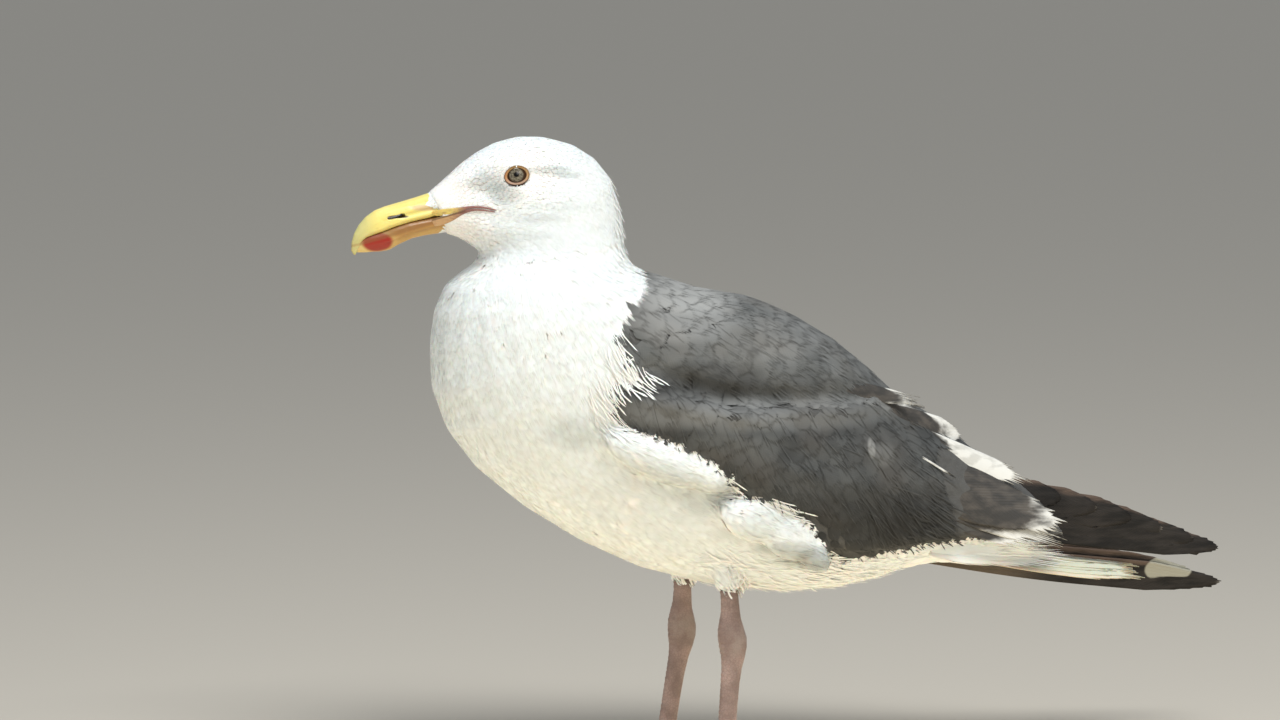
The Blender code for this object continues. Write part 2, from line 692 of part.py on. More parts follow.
def build():
    clear_scene()
    white = make_material("white feathers", WHITE, 0.85)
    slate = make_material("slate feathers", SLATE, 0.80)
    dark = make_material("dark wing feathers", DARK_SLATE, 0.75)
    black = make_material("blackish quills", BLACKISH, 0.60)
    yellow = make_material("yellow horn", BILL_YELLOW, 0.35)
    orange = make_material("orange horn", BILL_ORANGE, 0.35)
    eyes = make_material("eye", EYE_COLOUR, 0.08)
    pink = make_material("leg scales", LEG_PINK, 0.55)
    claw = make_material("claw horn", CLAW_COLOUR, 0.40)

    gull = bpy.data.objects.new("gull", None)
    gull.location = mm(CENTRING, 0.0, 0.0)
    bpy.context.collection.objects.link(gull)

    body = make_body()
    shell = grown(body, GAP)
    wings = {
        "left": make_vane(WING_STATIONS, -1.0, WING_RINGS, WING_SEGMENTS),
        "right": make_vane(mirrored(WING_STATIONS), 1.0, WING_RINGS, WING_SEGMENTS),
    }
    quills = {
        "left": make_vane(LEFT_PRIMARIES, -1.0, PRIMARY_RINGS, PRIMARY_SEGMENTS),
        "right": make_vane(RIGHT_PRIMARIES, 1.0, PRIMARY_RINGS, PRIMARY_SEGMENTS),
    }

    head = plane_side(body, HEAD_CUT, GAP / 2.0, True)
    for side in (-1.0, 1.0):
        head = boolean(head, grown(make_eye(side), GAP), "DIFFERENCE")
    add_object("head", head, white, gull)
    rest = plane_side(body, HEAD_CUT, -GAP / 2.0, False)
    add_object("neck", plane_side(rest, NECK_CUT, GAP / 2.0, True), white, gull)
    trunk = plane_side(rest, NECK_CUT, -GAP / 2.0, False)
    rest.free()
    body.free()

    block = make_mantle_block()
    mantle = boolean(trunk.copy(), block.copy(), "INTERSECT")
    trunk = boolean(trunk, grown(block, GAP), "DIFFERENCE")
    block.free()
    for wing in wings.values():
        mantle = boolean(mantle, grown(wing, GAP), "DIFFERENCE")
        trunk = boolean(trunk, grown(wing, GAP), "DIFFERENCE")
    add_object("mantle", mantle, slate, gull)
    add_object("trunk", trunk, white, gull)

    tail = make_tail()
    tail_shell = grown(tail, GAP)
    for side, quill in quills.items():
        for cutter in (shell.copy(), grown(wings[side], GAP), tail_shell.copy()):
            quill = boolean(quill, cutter, "DIFFERENCE")
        add_object("primaries_" + side, quill, black, gull)
    for side, wing in wings.items():
        add_object("wing_" + side, wing, dark, gull)
    add_object("tail", boolean(tail, shell.copy(), "DIFFERENCE"), white, gull)
    tail_shell.free()

    upper = boolean(make_bill(UPPER_BILL, True), make_nostril_cutter(), "DIFFERENCE")
    add_object("upper_bill", upper, yellow, gull)
    add_object("lower_bill", make_bill(LOWER_BILL, False), orange, gull)

    for name, side in (("left", -1.0), ("right", 1.0)):
        leg = LEGS[name]
        add_object("eye_" + name, make_eye(side), eyes, gull)
        thigh = make_leg_part(leg, side, THIGH_SECTIONS, THIGH_RINGS)
        thigh = boolean(thigh, shell.copy(), "DIFFERENCE")
        add_object("thigh_" + name, thigh, white, gull)
        tibia = make_leg_part(leg, side, TIBIA_SECTIONS, TIBIA_RINGS)
        add_object("tibia_" + name, tibia, pink, gull)
        foot = make_foot(leg, side)
        tarsus = make_leg_part(leg, side, TARSUS_SECTIONS, TARSUS_RINGS)
        tarsus = boolean(tarsus, grown(foot, GAP), "DIFFERENCE")
        add_object("tarsus_" + name, tarsus, pink, gull)
        add_object("foot_" + name, foot, pink, gull)
        add_object("hallux_" + name, make_hallux(leg, side), pink, gull)
        for toe in TOES:
            horn = make_toe_claw(leg, side, toe)
            add_object("claw_" + toe[0] + "_" + name, horn, claw, gull)
    shell.free()


build()
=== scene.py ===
"""A western gull standing at rest: the finish of its skin, feathers, bill, eyes and legs.

Metres, +Z up. The bird faces -X and its left side is -Y. Places and sizes in the
tables below are millimetres in the frame's own axes; mm() turns them into metres.
"""

import math
from itertools import product

import bmesh
import bpy
import numpy as np
from mathutils import Matrix, Vector
from mathutils.bvhtree import BVHTree
from mathutils.kdtree import KDTree


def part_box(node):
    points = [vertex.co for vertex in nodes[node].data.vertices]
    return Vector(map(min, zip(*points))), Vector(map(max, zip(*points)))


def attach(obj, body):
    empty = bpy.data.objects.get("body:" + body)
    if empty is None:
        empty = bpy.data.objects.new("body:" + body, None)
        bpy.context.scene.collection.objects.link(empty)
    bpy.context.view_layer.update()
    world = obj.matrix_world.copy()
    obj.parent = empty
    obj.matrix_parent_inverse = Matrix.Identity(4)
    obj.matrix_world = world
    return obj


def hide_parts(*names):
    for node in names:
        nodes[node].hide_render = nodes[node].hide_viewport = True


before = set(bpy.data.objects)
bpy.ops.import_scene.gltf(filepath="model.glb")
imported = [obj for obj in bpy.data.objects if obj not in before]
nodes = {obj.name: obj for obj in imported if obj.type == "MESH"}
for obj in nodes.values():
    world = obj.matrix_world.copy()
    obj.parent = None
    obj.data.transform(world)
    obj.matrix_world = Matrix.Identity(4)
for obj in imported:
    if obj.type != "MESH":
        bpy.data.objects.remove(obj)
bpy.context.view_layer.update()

MM = 0.001
SIDES = (("left", -1.0), ("right", 1.0))
SEED = 11

# ------------------------------------------------------------------- the plumage

# The lie of the feathers on the left half: a place and the way they point there.
LIE = (
    ((-218, 0, 326), (0.7, 0, 0.7)), ((-196, -8, 345), (0.8, 0, 0.6)),
    ((-160, -8, 356), (1, 0, 0)), ((-125, -10, 346), (0.65, 0, -0.75)),
    ((-110, -10, 325), (0.25, 0, -0.97)), ((-104, -15, 300), (0.2, -0.1, -0.97)),
    ((-206, -12, 320), (0.95, -0.25, 0.1)), ((-190, -18, 330), (0.95, -0.2, 0.1)),
    ((-172, -20, 316), (0.93, -0.2, -0.25)), ((-150, -26, 325), (0.8, -0.1, -0.55)),
    ((-140, -30, 300), (0.45, -0.3, -0.85)), ((-207, 0, 303), (0.85, 0, -0.5)),
    ((-192, 0, 289), (-0.1, 0, -1)), ((-205, 0, 272), (-0.55, -0.1, -0.83)),
    ((-175, -30, 280), (-0.1, -0.45, -0.88)), ((-217, 0, 246), (0.05, 0, -1)),
    ((-213, 0, 206), (0.25, 0, -0.97)), ((-189, 0, 169), (0.7, 0, -0.7)),
    ((-190, -45, 240), (0.1, -0.3, -0.95)), ((-170, -55, 200), (0.45, -0.1, -0.88)),
    ((-150, -58, 240), (0.4, -0.15, -0.9)), ((-142, 0, 133), (0.87, 0, -0.5)),
    ((-110, -62, 180), (0.88, 0, -0.45)), ((-130, -40, 150), (0.85, 0, -0.5)),
    ((-84, 0, 106), (0.95, 0, -0.3)), ((-60, -60, 150), (0.88, 0, -0.45)),
    ((-20, -55, 125), (0.95, 0, -0.3)), ((10, 0, 92), (1, 0, 0)),
    ((80, -20, 104), (1, 0, 0.05)), ((-95, -20, 282), (0.8, -0.1, -0.5)),
    ((-60, -30, 266), (0.88, -0.05, -0.45)), ((-80, -55, 250), (0.8, -0.05, -0.6)),
    ((-5, -25, 247), (0.86, 0, -0.52)), ((0, -50, 225), (0.86, 0, -0.52)),
    ((50, -20, 210), (0.76, 0, -0.65)), ((95, -10, 160), (0.75, 0, -0.65)),
)
WING_LIE = (
    ((-130, -62, 215), (0.3, 0, -0.95)), ((-100, -66, 215), (0.38, 0, -0.92)),
    ((-80, -68, 190), (0.38, 0, -0.92)), ((-40, -66, 200), (0.48, 0, -0.88)),
    ((-30, -68, 160), (0.52, 0, -0.85)), ((10, -60, 190), (0.62, 0, -0.78)),
    ((10, -62, 140), (0.68, 0, -0.73)), ((50, -45, 190), (0.76, 0, -0.65)),
    ((60, -48, 140), (0.84, 0, -0.54)), ((100, -30, 160), (0.84, 0, -0.54)),
)
# The body's axis from the bill to the tail, seen from the side.
AXIS = ((-216, 315), (-165, 325), (-140, 300), (-150, 262), (-135, 225), (-60, 182),
        (30, 150), (110, 113), (215, 98))

# Pads of flank feathers that swell over the wing's lower edge: middle, half
# length, half height, half thickness and slope in degrees.
FLANK_PADS = (
    ((-101, -62.5, 178), 34, 12, 9.5, -22),
    ((-79, -63, 170.5), 19, 9, 8.5, -32),
    ((-46, -60.5, 142.5), 21, 13, 9.5, -14),
    ((-28, -60.5, 133), 19, 12.5, 9, -36),
    ((-13, -59, 122), 14, 7.5, 7.5, -44),
)
# The edge of the dark plumage on the side view, from the nape round the wing's front
# and lower edge to its hind end, and the crease between the back and the wing.
DARK_EDGE = (
    (-60, 310), (-100, 281), (-111, 267), (-120, 257), (-125, 246), (-121, 237), (-108, 230),
    (-106, 225), (-131, 216), (-128, 209), (-122, 197), (-113, 192), (-102, 188), (-86, 182),
    (-72, 174), (-62, 167), (-60, 156), (-36, 155), (-24, 146), (-10, 129), (-1, 116),
    (14, 114), (57, 121), (95, 122), (170, 118), (170, 310),
)
CREASE = (
    (-135, 238), (-110, 226), (-91, 219), (-78, 213.5), (-62, 209), (22, 207.5), (50, 202),
    (90, 180), (150, 150),
)
# Hollows (and, below nothing, swellings) of the folded wing, as for the face below.
WING_FOLDS = (
    ((-108, 229), (-84, 219), 8, 2.4), ((-84, 219), (-60, 212), 8.5, 3),
    ((-60, 212), (-30, 211), 8, 3), ((-30, 211), (25, 210), 7, 2),
    ((-124, 216), (-96, 209), 7, -1.6), ((-96, 209), (-60, 201), 7, -1.8),
    ((-60, 201), (20, 201), 6.5, -1.5), ((-60, 183), (0, 176), 10, 0.8),
)
# The tint of painted shade on white feathers, and of painted shade and light on slate.
SHADE = (0.36, 0.365, 0.34)
SLATE_DARK = (0.02, 0.02, 0.019)
SLATE_LIGHT = (0.33, 0.34, 0.335)
# Where the wing's feathers end in dark hair-like wisps.
WISPS = ((10, 165), (52, 158), (100, 126), (80, 119), (40, 118), (22, 135))
# Painted shade and light on the back and wing, as for the face below, with a few of the
# plumage's own markings; a light one has a strength below nothing. The crease under the
# back's lower edge gets painted shade, the top of the back and the wing's upper ridge get
# painted light, and the darker hind feathers and small pale nicks are the plumage's own colour.
SLATE_LIGHT_SHADE_AND_MARKS = (
    (-76, 222, 34, 10, 0.55), (-35, 218, 40, 8, 0.34), (12, 214, 26, 6, 0.2),
    (-84, 256, 28, 12, -0.5), (-76, 268, 32, 10, -0.75), (-30, 244, 34, 12, -0.12),
    (23.5, 180.5, 2.4, 5, -0.6), (31, 176, 8, 6, -0.2), (-40, 228, 22, 8, -0.08),
    (-96, 206, 30, 9, -0.26), (-60, 202, 30, 8, -0.24),
    (-5, 201, 50, 8, -0.22), (-70, 186, 22, 8, -0.06), (-45, 183, 9, 7, -0.08),
    (10, 138, 52, 20, 0.55), (70, 138, 44, 16, 0.4), (-25, 160, 25, 10, 0.22),
)
SKIN_VOXEL = 2
WELD = 1.2
# The four kinds of plumage, and how deep the skin lies under each.
WHITE, SLATE, WING, PAD = range(4)
COAT_DEPTHS = (1.1, 1.0, 0.7, 1.1)
HEAD_DEPTH = 0.7
FACE_DEPTH = 0.15
SOCKET_DEPTH = 6.0
# How far the white feathers lap over the dark ones, and dark ones start before them.
WHITE_LAP = 9.0
DARK_LAP = 8.0
VANE_THICKNESS = 0.45

# Hollows and swellings of the head, drawn on its side view: start, end, radius and
# how deep they go in. A swelling has a depth below nothing.
FACE_FOLDS = (
    ((-206, 325), (-187, 327), 8.5, 1.3),        # lores
    ((-190, 343), (-166, 347), 5.5, -0.7),       # brow
    ((-182, 325), (-160, 322), 7, -0.5),       # cheek
    ((-199, 314), (-182, 312), 4.5, 0.7),        # below the corner of the mouth
    ((-163, 334), (-140, 333), 5, 0.5),        # line behind the eye
    ((-190, 303), (-150, 300), 9, -0.8),       # jaw
)
# Painted shade on the white plumage: faint grey where the face lies in shade, at the lores,
# below and behind the eye and under the brow, and on the flanks below the pads: middle,
# half length, half height and strength.
FACE_PAINTED_SHADE = (
    (-188, 331, 11, 5, 0.58), (-180, 325.5, 9, 5.5, 0.55), (-186, 337.5, 9, 3, 0.3),
    (-155, 338, 12, 2.6, 0.5), (-145, 335, 9, 1.8, 0.36), (-162, 311.5, 12, 3, 0.2),
    (-150, 318, 14, 3, 0.14), (-168, 302, 14, 2.5, 0.14),
)
FLANK_PAINTED_SHADE = (
    (-122, 179, 14, 8, 0.14), (-106, 170, 15, 8, 0.22), (-90, 162, 14, 8, 0.26),
    (-74, 154, 13, 8, 0.3), (-66, 158, 7, 8, 0.35), (-52, 134, 12, 6, 0.16),
    (-30, 141, 22, 8, 0.13), (-12, 119, 14, 6.5, 0.75), (-27, 125, 15, 5, 0.5),
    (-6, 114, 9, 4, 0.4), (-24, 117, 16, 4, 0.16), (-146, 194, 18, 10, 0.3),
    (-40, 146, 16, 5, 0.18),
)
# The feathers that reach forward over the side of the bill's base.
BILL_FEATHERS = (
    (-217.5, 330), (-219.5, 325), (-220.5, 321.5), (-222.5, 318.8), (-220, 317.3),
    (-214.5, 316.6), (-208, 316), (-208, 332),
)
CHIN_FEATHERS = (
    (-212.5, 309), (-212.8, 304.5), (-214.6, 302.2), (-214.5, 296), (-205, 294), (-205, 310),
)
# The furrows of the upper and lower halves of the bill, in the same way.
UPPER_FURROWS = (
    ((-236, 312.6), (-219, 316.4), 2.3, 0.9),    # from the nostril to the feathers
    ((-246, 310.2), (-238, 312), 1.8, 0.35),
    ((-252, 299.6), (-216, 309.6), 1.3, -0.35),  # the rim that shuts over the lower half
    ((-217, 322.5), (-230, 319), 3, 0.25),
)
LOWER_FURROWS = (
    ((-243, 296.5), (-216, 305.6), 2, 0.45),
    ((-244, 293.6), (-236, 295), 2.5, -0.4),   # the knob below the red spot
)
# Fleshy strips between the bill and the corner of the mouth: x, z and half height.
GAPE_UPPER = (
    (-219.5, 313.3, 2.6), (-213, 314.7, 2.1), (-206, 316, 1.3), (-201, 317.3, 0.8),
    (-196.5, 318, 0.6), (-190, 317.4, 0.55), (-184.6, 316, 0.35),
)
GAPE_LOWER = (
    (-219.5, 308.2, 2.9), (-211, 310.4, 2.5), (-206.3, 312.9, 1.7), (-201.6, 315.5, 0.9),
    (-194.8, 316.7, 0.5), (-185, 315, 0.3),
)
# The eye: its middle seen from the side, the half axes of the opening between the
# lids and of the bare ring round it, and how far the ball stands out.
EYE_SPOT = (-173, 335.1)
EYE_OPENING = (5.2, 4.1)
EYE_RING = (7.4, 5.6)
EYE_TILT = 9
EYE_RADIUS = 7.2
EYE_DEPTH = 6.6
EYE_BULGE = 1.9
# Across the ring of the lids, from the opening (0) to the feathers (1), and its height.
LID_PROFILE = (
    (0, -0.6), (0.03, 0.05), (0.14, 0.34), (0.34, 0.3), (0.5, 0.1), (0.7, 0.34),
    (0.88, 0.2), (1, -0.7),
)


def mm(*values):
    """A point given in millimetres, in metres."""
    return Vector(values) * MM


def clamp(values):
    return np.clip(values, 0.0, 1.0)


# ---------------------------------------------------------------------- finishes

class Value:
    """A shader socket that can be used in sums like a number."""

    def __init__(self, finish, socket):
        self.finish = finish
        self.socket = socket

    def maths(self, operation, first, second):
        return self.finish.add("ShaderNodeMath", {"operation": operation}, {0: first, 1: second})

    def __add__(self, other):
        return self.maths("ADD", self, other)

    def __radd__(self, other):
        return self.maths("ADD", other, self)

    def __sub__(self, other):
        return self.maths("SUBTRACT", self, other)

    def __rsub__(self, other):
        return self.maths("SUBTRACT", other, self)

    def __mul__(self, other):
        return self.maths("MULTIPLY", self, other)

    def __rmul__(self, other):
        return self.maths("MULTIPLY", other, self)

    def __truediv__(self, other):
        return self.maths("DIVIDE", self, other)

    def __pow__(self, other):
        return self.maths("POWER", self, other)


class Finish:
    """A material being made; settings that are the same all over go in by name."""

    def __init__(self, name, **fixed):
        self.material = bpy.data.materials.new(name)
        self.material.use_nodes = True
        self.tree = self.material.node_tree
        self.shader = self.tree.nodes["Principled BSDF"]
        for socket, value in fixed.items():
            self.shader.inputs[socket.replace("_", " ")].default_value = value
        self.place = self.add("ShaderNodeTexCoord", output="Object")
        parts = self.add("ShaderNodeSeparateXYZ", inputs={0: self.place}).socket.node
        self.x, self.y, self.z = (Value(self, socket) for socket in parts.outputs)

    def add(self, kind, settings=None, inputs=None, output=0):
        """A node of any kind: its settings, then the values or links of its sockets."""
        node = self.tree.nodes.new(kind)
        for key, value in (settings or {}).items():
            if key == "stops":
                self.set_stops(node.color_ramp, value)
            else:
                setattr(node, key, value)
        for key, value in (inputs or {}).items():
            self.feed(node.inputs[key], value)
        return Value(self, node.outputs[output])

    def set_stops(self, ramp, stops):
        while len(ramp.elements) < len(stops):
            ramp.elements.new(1.0)
        for element, (position, colour) in zip(ramp.elements, stops):
            element.position = position
            element.color = (*colour, 1.0)

    def feed(self, socket, value):
        if isinstance(value, Value):
            self.tree.links.new(value.socket, socket)
        elif socket.type == "RGBA":
            socket.default_value = (*value, 1.0)
        else:
            socket.default_value = value

    def step(self, value, low, high):
        """0 below low, 1 above high, and smooth between."""
        settings = {"interpolation_type": "SMOOTHSTEP"}
        return self.add("ShaderNodeMapRange", settings, {0: value, 1: low, 2: high})

    def absolute(self, value):
        return self.add("ShaderNodeMath", {"operation": "ABSOLUTE"}, {0: value})

    def wave(self, value):
        return self.add("ShaderNodeMath", {"operation": "SINE"}, {0: value})

    def noise(self, scale, detail=2.0, stretch=None):
        """Soft spots, 0 to 1; scale counts them per metre."""
        place = self.place
        if stretch:
            place = self.add("ShaderNodeMapping", inputs={"Vector": place, "Scale": stretch})
        return self.add("ShaderNodeTexNoise", inputs={
            "Vector": place, "Scale": scale, "Detail": detail})

    def cells(self, scale, feature="F1"):
        inputs = {"Vector": self.place, "Scale": scale}
        return self.add("ShaderNodeTexVoronoi", {"feature": feature}, inputs, "Distance")

    def blend(self, share, first, second):
        """One colour turning into another as share goes from 0 to 1."""
        inputs = {0: share, 6: first, 7: second}
        return self.add("ShaderNodeMix", {"data_type": "RGBA"}, inputs, 2)

    def layers(self, colour, *layers):
        """Lays tints over a colour, each where its share goes from 0 to 1."""
        for share, tint in layers:
            colour = self.blend(share, colour, tint)
        return colour

    def oval(self, x, z, length, height, soft=0.3):
        """1 inside an oval of the side view, given in millimetres, and 0 outside."""
        far = ((self.x - x * MM) / (length * MM)) ** 2 + ((self.z - z * MM) / (height * MM)) ** 2
        return self.step(far, 1.0 + soft, 1.0 - soft)

    def light_shade_and_marks(self, colour, table, dark, light=None):
        """Lays the soft ovals of a table over a colour: painted shade and light, and own markings;
        a light one is below nothing.
        """
        return self.layers(colour, *(
            (self.oval(x, z, length, height, 0.9) * abs(weight), dark if weight > 0.0 else light)
            for x, z, length, height, weight in table))

    def attribute(self, name):
        return self.add("ShaderNodeAttribute", {"attribute_name": name}, output="Fac")

    def vane(self, pitch, slant, uneven=0.0):
        """How far along a feather and across it, from -1 to 1, a point lies; the feather's
        own tone; and the ridges of its barbs, which slant away from the shaft."""
        spot = self.add("ShaderNodeUVMap", {"uv_map": "vane"})
        parts = self.add("ShaderNodeSeparateXYZ", inputs={0: spot}).socket.node
        across, along, _ = (Value(self, socket) for socket in parts.outputs)
        across = across * 2.0 - 1.0
        tone = self.attribute("tone")
        barbs = self.wave(along * pitch - self.absolute(across) * slant + tone * uneven)
        return along, across, tone, barbs

    def paint(self, colour, roughness=None, bump=None, height=0.3, strength=1.0):
        """Links colour, roughness and a bump of height millimetres, and hands over."""
        self.feed(self.shader.inputs["Base Color"], colour)
        if roughness is not None:
            self.feed(self.shader.inputs["Roughness"], roughness)
        if bump is not None:
            inputs = {"Height": bump, "Distance": height * MM, "Strength": strength}
            self.feed(self.shader.inputs["Normal"],
                      self.add("ShaderNodeBump", inputs=inputs, output="Normal"))
        return self.material


# ------------------------------------------------------------------ shape helpers

def unit(vectors):
    length = np.linalg.norm(vectors, axis=-1, keepdims=True)
    return vectors / np.maximum(length, 1e-12)


def add_object(name, data):
    thing = bpy.data.objects.new(name, data)
    bpy.context.scene.collection.objects.link(thing)
    return thing


def add_piece(name, mesh, slot, *replaced):
    """A finished mesh becomes a piece of the bird."""
    piece = add_object(name, mesh)
    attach(piece, "root")
    if replaced:
        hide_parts(*replaced)
    return piece


def modify(thing, kind, **settings):
    modifier = thing.modifiers.new(kind.lower(), kind)
    for key, value in settings.items():
        setattr(modifier, key, value)


def read(items, key, width=3, kind=float):
    """The values of a mesh's points, edges or faces, one row for each."""
    values = np.empty(len(items) * width, dtype=kind)
    items.foreach_get(key, values)
    return values.reshape(-1, width)


def move_to(mesh, places):
    mesh.vertices.foreach_set("co", places.ravel())
    mesh.update()


def add_mark(mesh, name, values):
    """A number for each point, which a finish can read."""
    mark = mesh.attributes.new(name, "FLOAT", "POINT")
    mark.data.foreach_set("value", np.asarray(values, float))


def node_bmesh(name, grow=0.0):
    """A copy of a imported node, merged, and moved outwards by grow millimetres."""
    bm = bmesh.new()
    bm.from_mesh(nodes[name].data)
    bmesh.ops.remove_doubles(bm, verts=bm.verts, dist=1e-6)
    bm.normal_update()
    moves = [vertex.normal * grow * MM for vertex in bm.verts]
    for vertex, move in zip(bm.verts, moves):
        vertex.co += move
    return bm


def pour(source, target):
    """Adds one bmesh to another and frees it."""
    mesh = bpy.data.meshes.new("poured")
    source.to_mesh(mesh)
    source.free()
    target.from_mesh(mesh)
    bpy.data.meshes.remove(mesh)


def remeshed(bm, voxel):
    """One closed mesh of even faces over everything in a bmesh."""
    mesh = bpy.data.meshes.new("poured")
    bm.to_mesh(mesh)
    bm.free()
    thing = add_object("poured", mesh)
    modify(thing, "REMESH", mode="VOXEL", voxel_size=voxel * MM, use_smooth_shade=True)
    bpy.context.view_layer.update()
    view = bpy.context.evaluated_depsgraph_get()
    mesh = bpy.data.meshes.new_from_object(thing.evaluated_get(view))
    bpy.data.objects.remove(thing, do_unlink=True)
    return mesh


def relax(mesh, times, share=0.5):
    """Smooths a mesh by moving each point towards its neighbours' middle."""
    places = read(mesh.vertices, "co")
    edges = read(mesh.edges, "vertices", 2, np.int64)
    start, end = edges.T
    count = np.bincount(edges.ravel(), minlength=len(places))[:, None]
    for turn in range(times):
        total = np.zeros_like(places)
        for axis in range(3):
            total[:, axis] += np.bincount(start, places[end, axis], len(places))
            total[:, axis] += np.bincount(end, places[start, axis], len(places))
        # Every second pass pushes back a little, so that the form doesn't shrink.
        pull = share if turn % 2 == 0 else -share * 1.04
        places += (total / count - places) * pull
    move_to(mesh, places)


def beside(points, start, run):
    """How far points lie along a line, 0 to 1, and how far away from it."""
    share = clamp((points - start) @ run / (run @ run))
    return share, np.linalg.norm(points - start - share[:, None] * run, axis=1)


def pressed(points, normals, folds, middle=3.0):
    """Moves points in or out along folds drawn on the side view, on both sides."""
    flat = points[:, ::2]
    sideways = clamp((np.abs(points[:, 1]) / MM - middle) / 4.0)
    moved = points.copy()
    for start, end, radius, depth in folds:
        _, gap = beside(flat, np.array(start) * MM, np.subtract(end, start) * MM)
        weight = clamp(1.0 - (gap / (radius * MM)) ** 2) ** 2 * sideways
        moved -= normals * (depth * MM * weight)[:, None]
    return moved


def inside(x, z, outline):
    """Which places of the side view lie within an outline."""
    within = np.zeros(len(x), dtype=bool)
    for (x0, z0), (x1, z1) in zip(outline, outline[1:] + outline[:1]):
        spans = (z0 > z) != (z1 > z)
        rise = z1 - z0 if z1 != z0 else 1.0
        within ^= spans & (x < x0 + (z - z0) * (x1 - x0) / rise)
    return within


def height_on(line, x):
    """The height of a line of the side view at x."""
    return np.interp(x, *np.array(line).T)


def from_side(tree, x, z, side):
    """The outermost point of a tree at a place of the side view, in millimetres."""
    hit, normal, _, _ = tree.ray_cast(mm(x, side * 200.0, z), (0.0, -side, 0.0))
    return (None, None) if hit is None else (np.array(hit), np.array(normal))


def sweep(bm, stations, segments=12):
    """A strip of rounded section, closed at both ends.

    Each station is a place, the direction of its width, the direction of its
    thickness, and half of each size.
    """
    rings = []
    for number, (place, across, outwards, width, thickness) in enumerate(stations):
        cap = number in (0, len(stations) - 1)
        made = bmesh.ops.create_circle(bm, cap_ends=cap, segments=segments, radius=1.0)["verts"]
        across, outwards = Vector(across), Vector(outwards)
        form = Matrix((across * width, outwards * thickness, across.cross(outwards)))
        turn = Matrix.Translation(place) @ form.transposed().to_4x4()
        bmesh.ops.transform(bm, matrix=turn, verts=made)
        rings.append(list({edge for vertex in made for edge in vertex.link_edges}))
    for first, second in zip(rings, rings[1:]):
        bmesh.ops.bridge_loops(bm, edges=first + second)
    bmesh.ops.recalc_face_normals(bm, faces=bm.faces)


def mesh_of(bm, name, material):
    """A bmesh made into a smooth mesh with one material."""
    mesh = bpy.data.meshes.new(name)
    bm.to_mesh(mesh)
    bm.free()
    mesh.materials.append(material)
    mesh.shade_smooth()
    return mesh


class Surface:
    """A closed mesh that feathers are laid on."""

    def __init__(self, mesh, tract=None):
        self.mesh = mesh
        self.places = read(mesh.vertices, "co")
        self.normals = read(mesh.vertices, "normal")
        mesh.calc_loop_triangles()
        self.faces = read(mesh.loop_triangles, "vertices", 3, np.int64)
        self.middles = self.places[self.faces].mean(axis=1)
        self.tract = np.zeros(len(self.places), int) if tract is None else tract
        self.kinds = self.tract[self.faces[:, 0]]
        self.tree = BVHTree.FromPolygons(self.places.tolist(), self.faces.tolist())

    def snap(self, points):
        """The nearest points of the surface, with smooth normals."""
        found = [self.tree.find_nearest(point)[::2][:2] for point in points.tolist()]
        places = np.array([place for place, _ in found])
        corners = self.faces[[face for _, face in found]]
        return places, unit(self.normals[corners].sum(axis=1))

    def path_from_side(self, spots, side, cling=False):
        """Places over the surface; those past its edge cling to it or stay level."""
        path, last = [], side * 10.0 * MM
        for x, z in spots:
            hit, _ = from_side(self.tree, x, z, side)
            last = last if hit is None else hit[1]
            place = (x * MM, last, z * MM)
            path.append(self.tree.find_nearest(place)[0] if cling else place)
        return np.array(path)

    def scatter(self, keep, spacing, random):
        """Random points at least spacing millimetres apart on faces marked in keep."""
        faces = self.faces[keep]
        a, b, c = (self.places[faces[:, corner]] for corner in range(3))
        area = np.linalg.norm(np.cross(b - a, c - a), axis=1) / 2.0
        gap = spacing * MM
        count = int(area.sum() / gap ** 2 * 3.0)
        chosen = random.choice(len(faces), size=count, p=area / area.sum())
        first, second = random.random((2, count, 1))
        over = first + second > 1.0
        first, second = np.where(over, 1.0 - first, first), np.where(over, 1.0 - second, second)
        points = a[chosen] + (b - a)[chosen] * first + (c - a)[chosen] * second
        cells = np.floor(points / gap).astype(int)
        taken, kept = {}, []
        around = list(product((-1, 0, 1), repeat=3))
        for index, (point, (x, y, z)) in enumerate(zip(points.tolist(), cells.tolist())):
            others = (taken.get((x + i, y + j, z + k)) for i, j, k in around)
            if not any(other and math.dist(other, point) < gap for other in others):
                taken[x, y, z] = point
                kept.append(index)
        corners = faces[chosen[kept]]
        return points[kept], unit(self.normals[corners].sum(axis=1))


def lie_at(points, table=LIE):
    """The way feathers point at each point, from a table of the left half."""
    anchors = np.array([place for place, _ in table]) * MM
    ways = np.array([way for _, way in table])
    folded = points * (1.0, 0.0, 1.0) - np.abs(points) * (0.0, 1.0, 0.0)
    apart = np.linalg.norm(folded[:, None, :] - anchors[None], axis=2)
    weight = 1.0 / (apart ** 2 + (6.0 * MM) ** 2) ** 1.6
    way = unit(weight @ ways)
    way[:, 1] *= np.where(points[:, 1] > 0.0, -1.0, 1.0)
    return way


def gap_to(others, points):
    """How far each point is from the nearest of the others, in millimetres."""
    tree = KDTree(len(others))
    for index, place in enumerate(others):
        tree.insert(place, index)
    tree.balance()
    return np.array([tree.find(point)[2] for point in points]) / MM


def reaches_dark(points, reach):
    """Whether feathers of a length in millimetres reach the dark plumage."""
    ahead = (points + lie_at(points) * (reach * MM)) / MM
    return inside(ahead[:, 0], ahead[:, 2], DARK_EDGE)


def along_surface(ways, normals):
    return unit(ways - normals * (ways * normals).sum(axis=-1, keepdims=True))


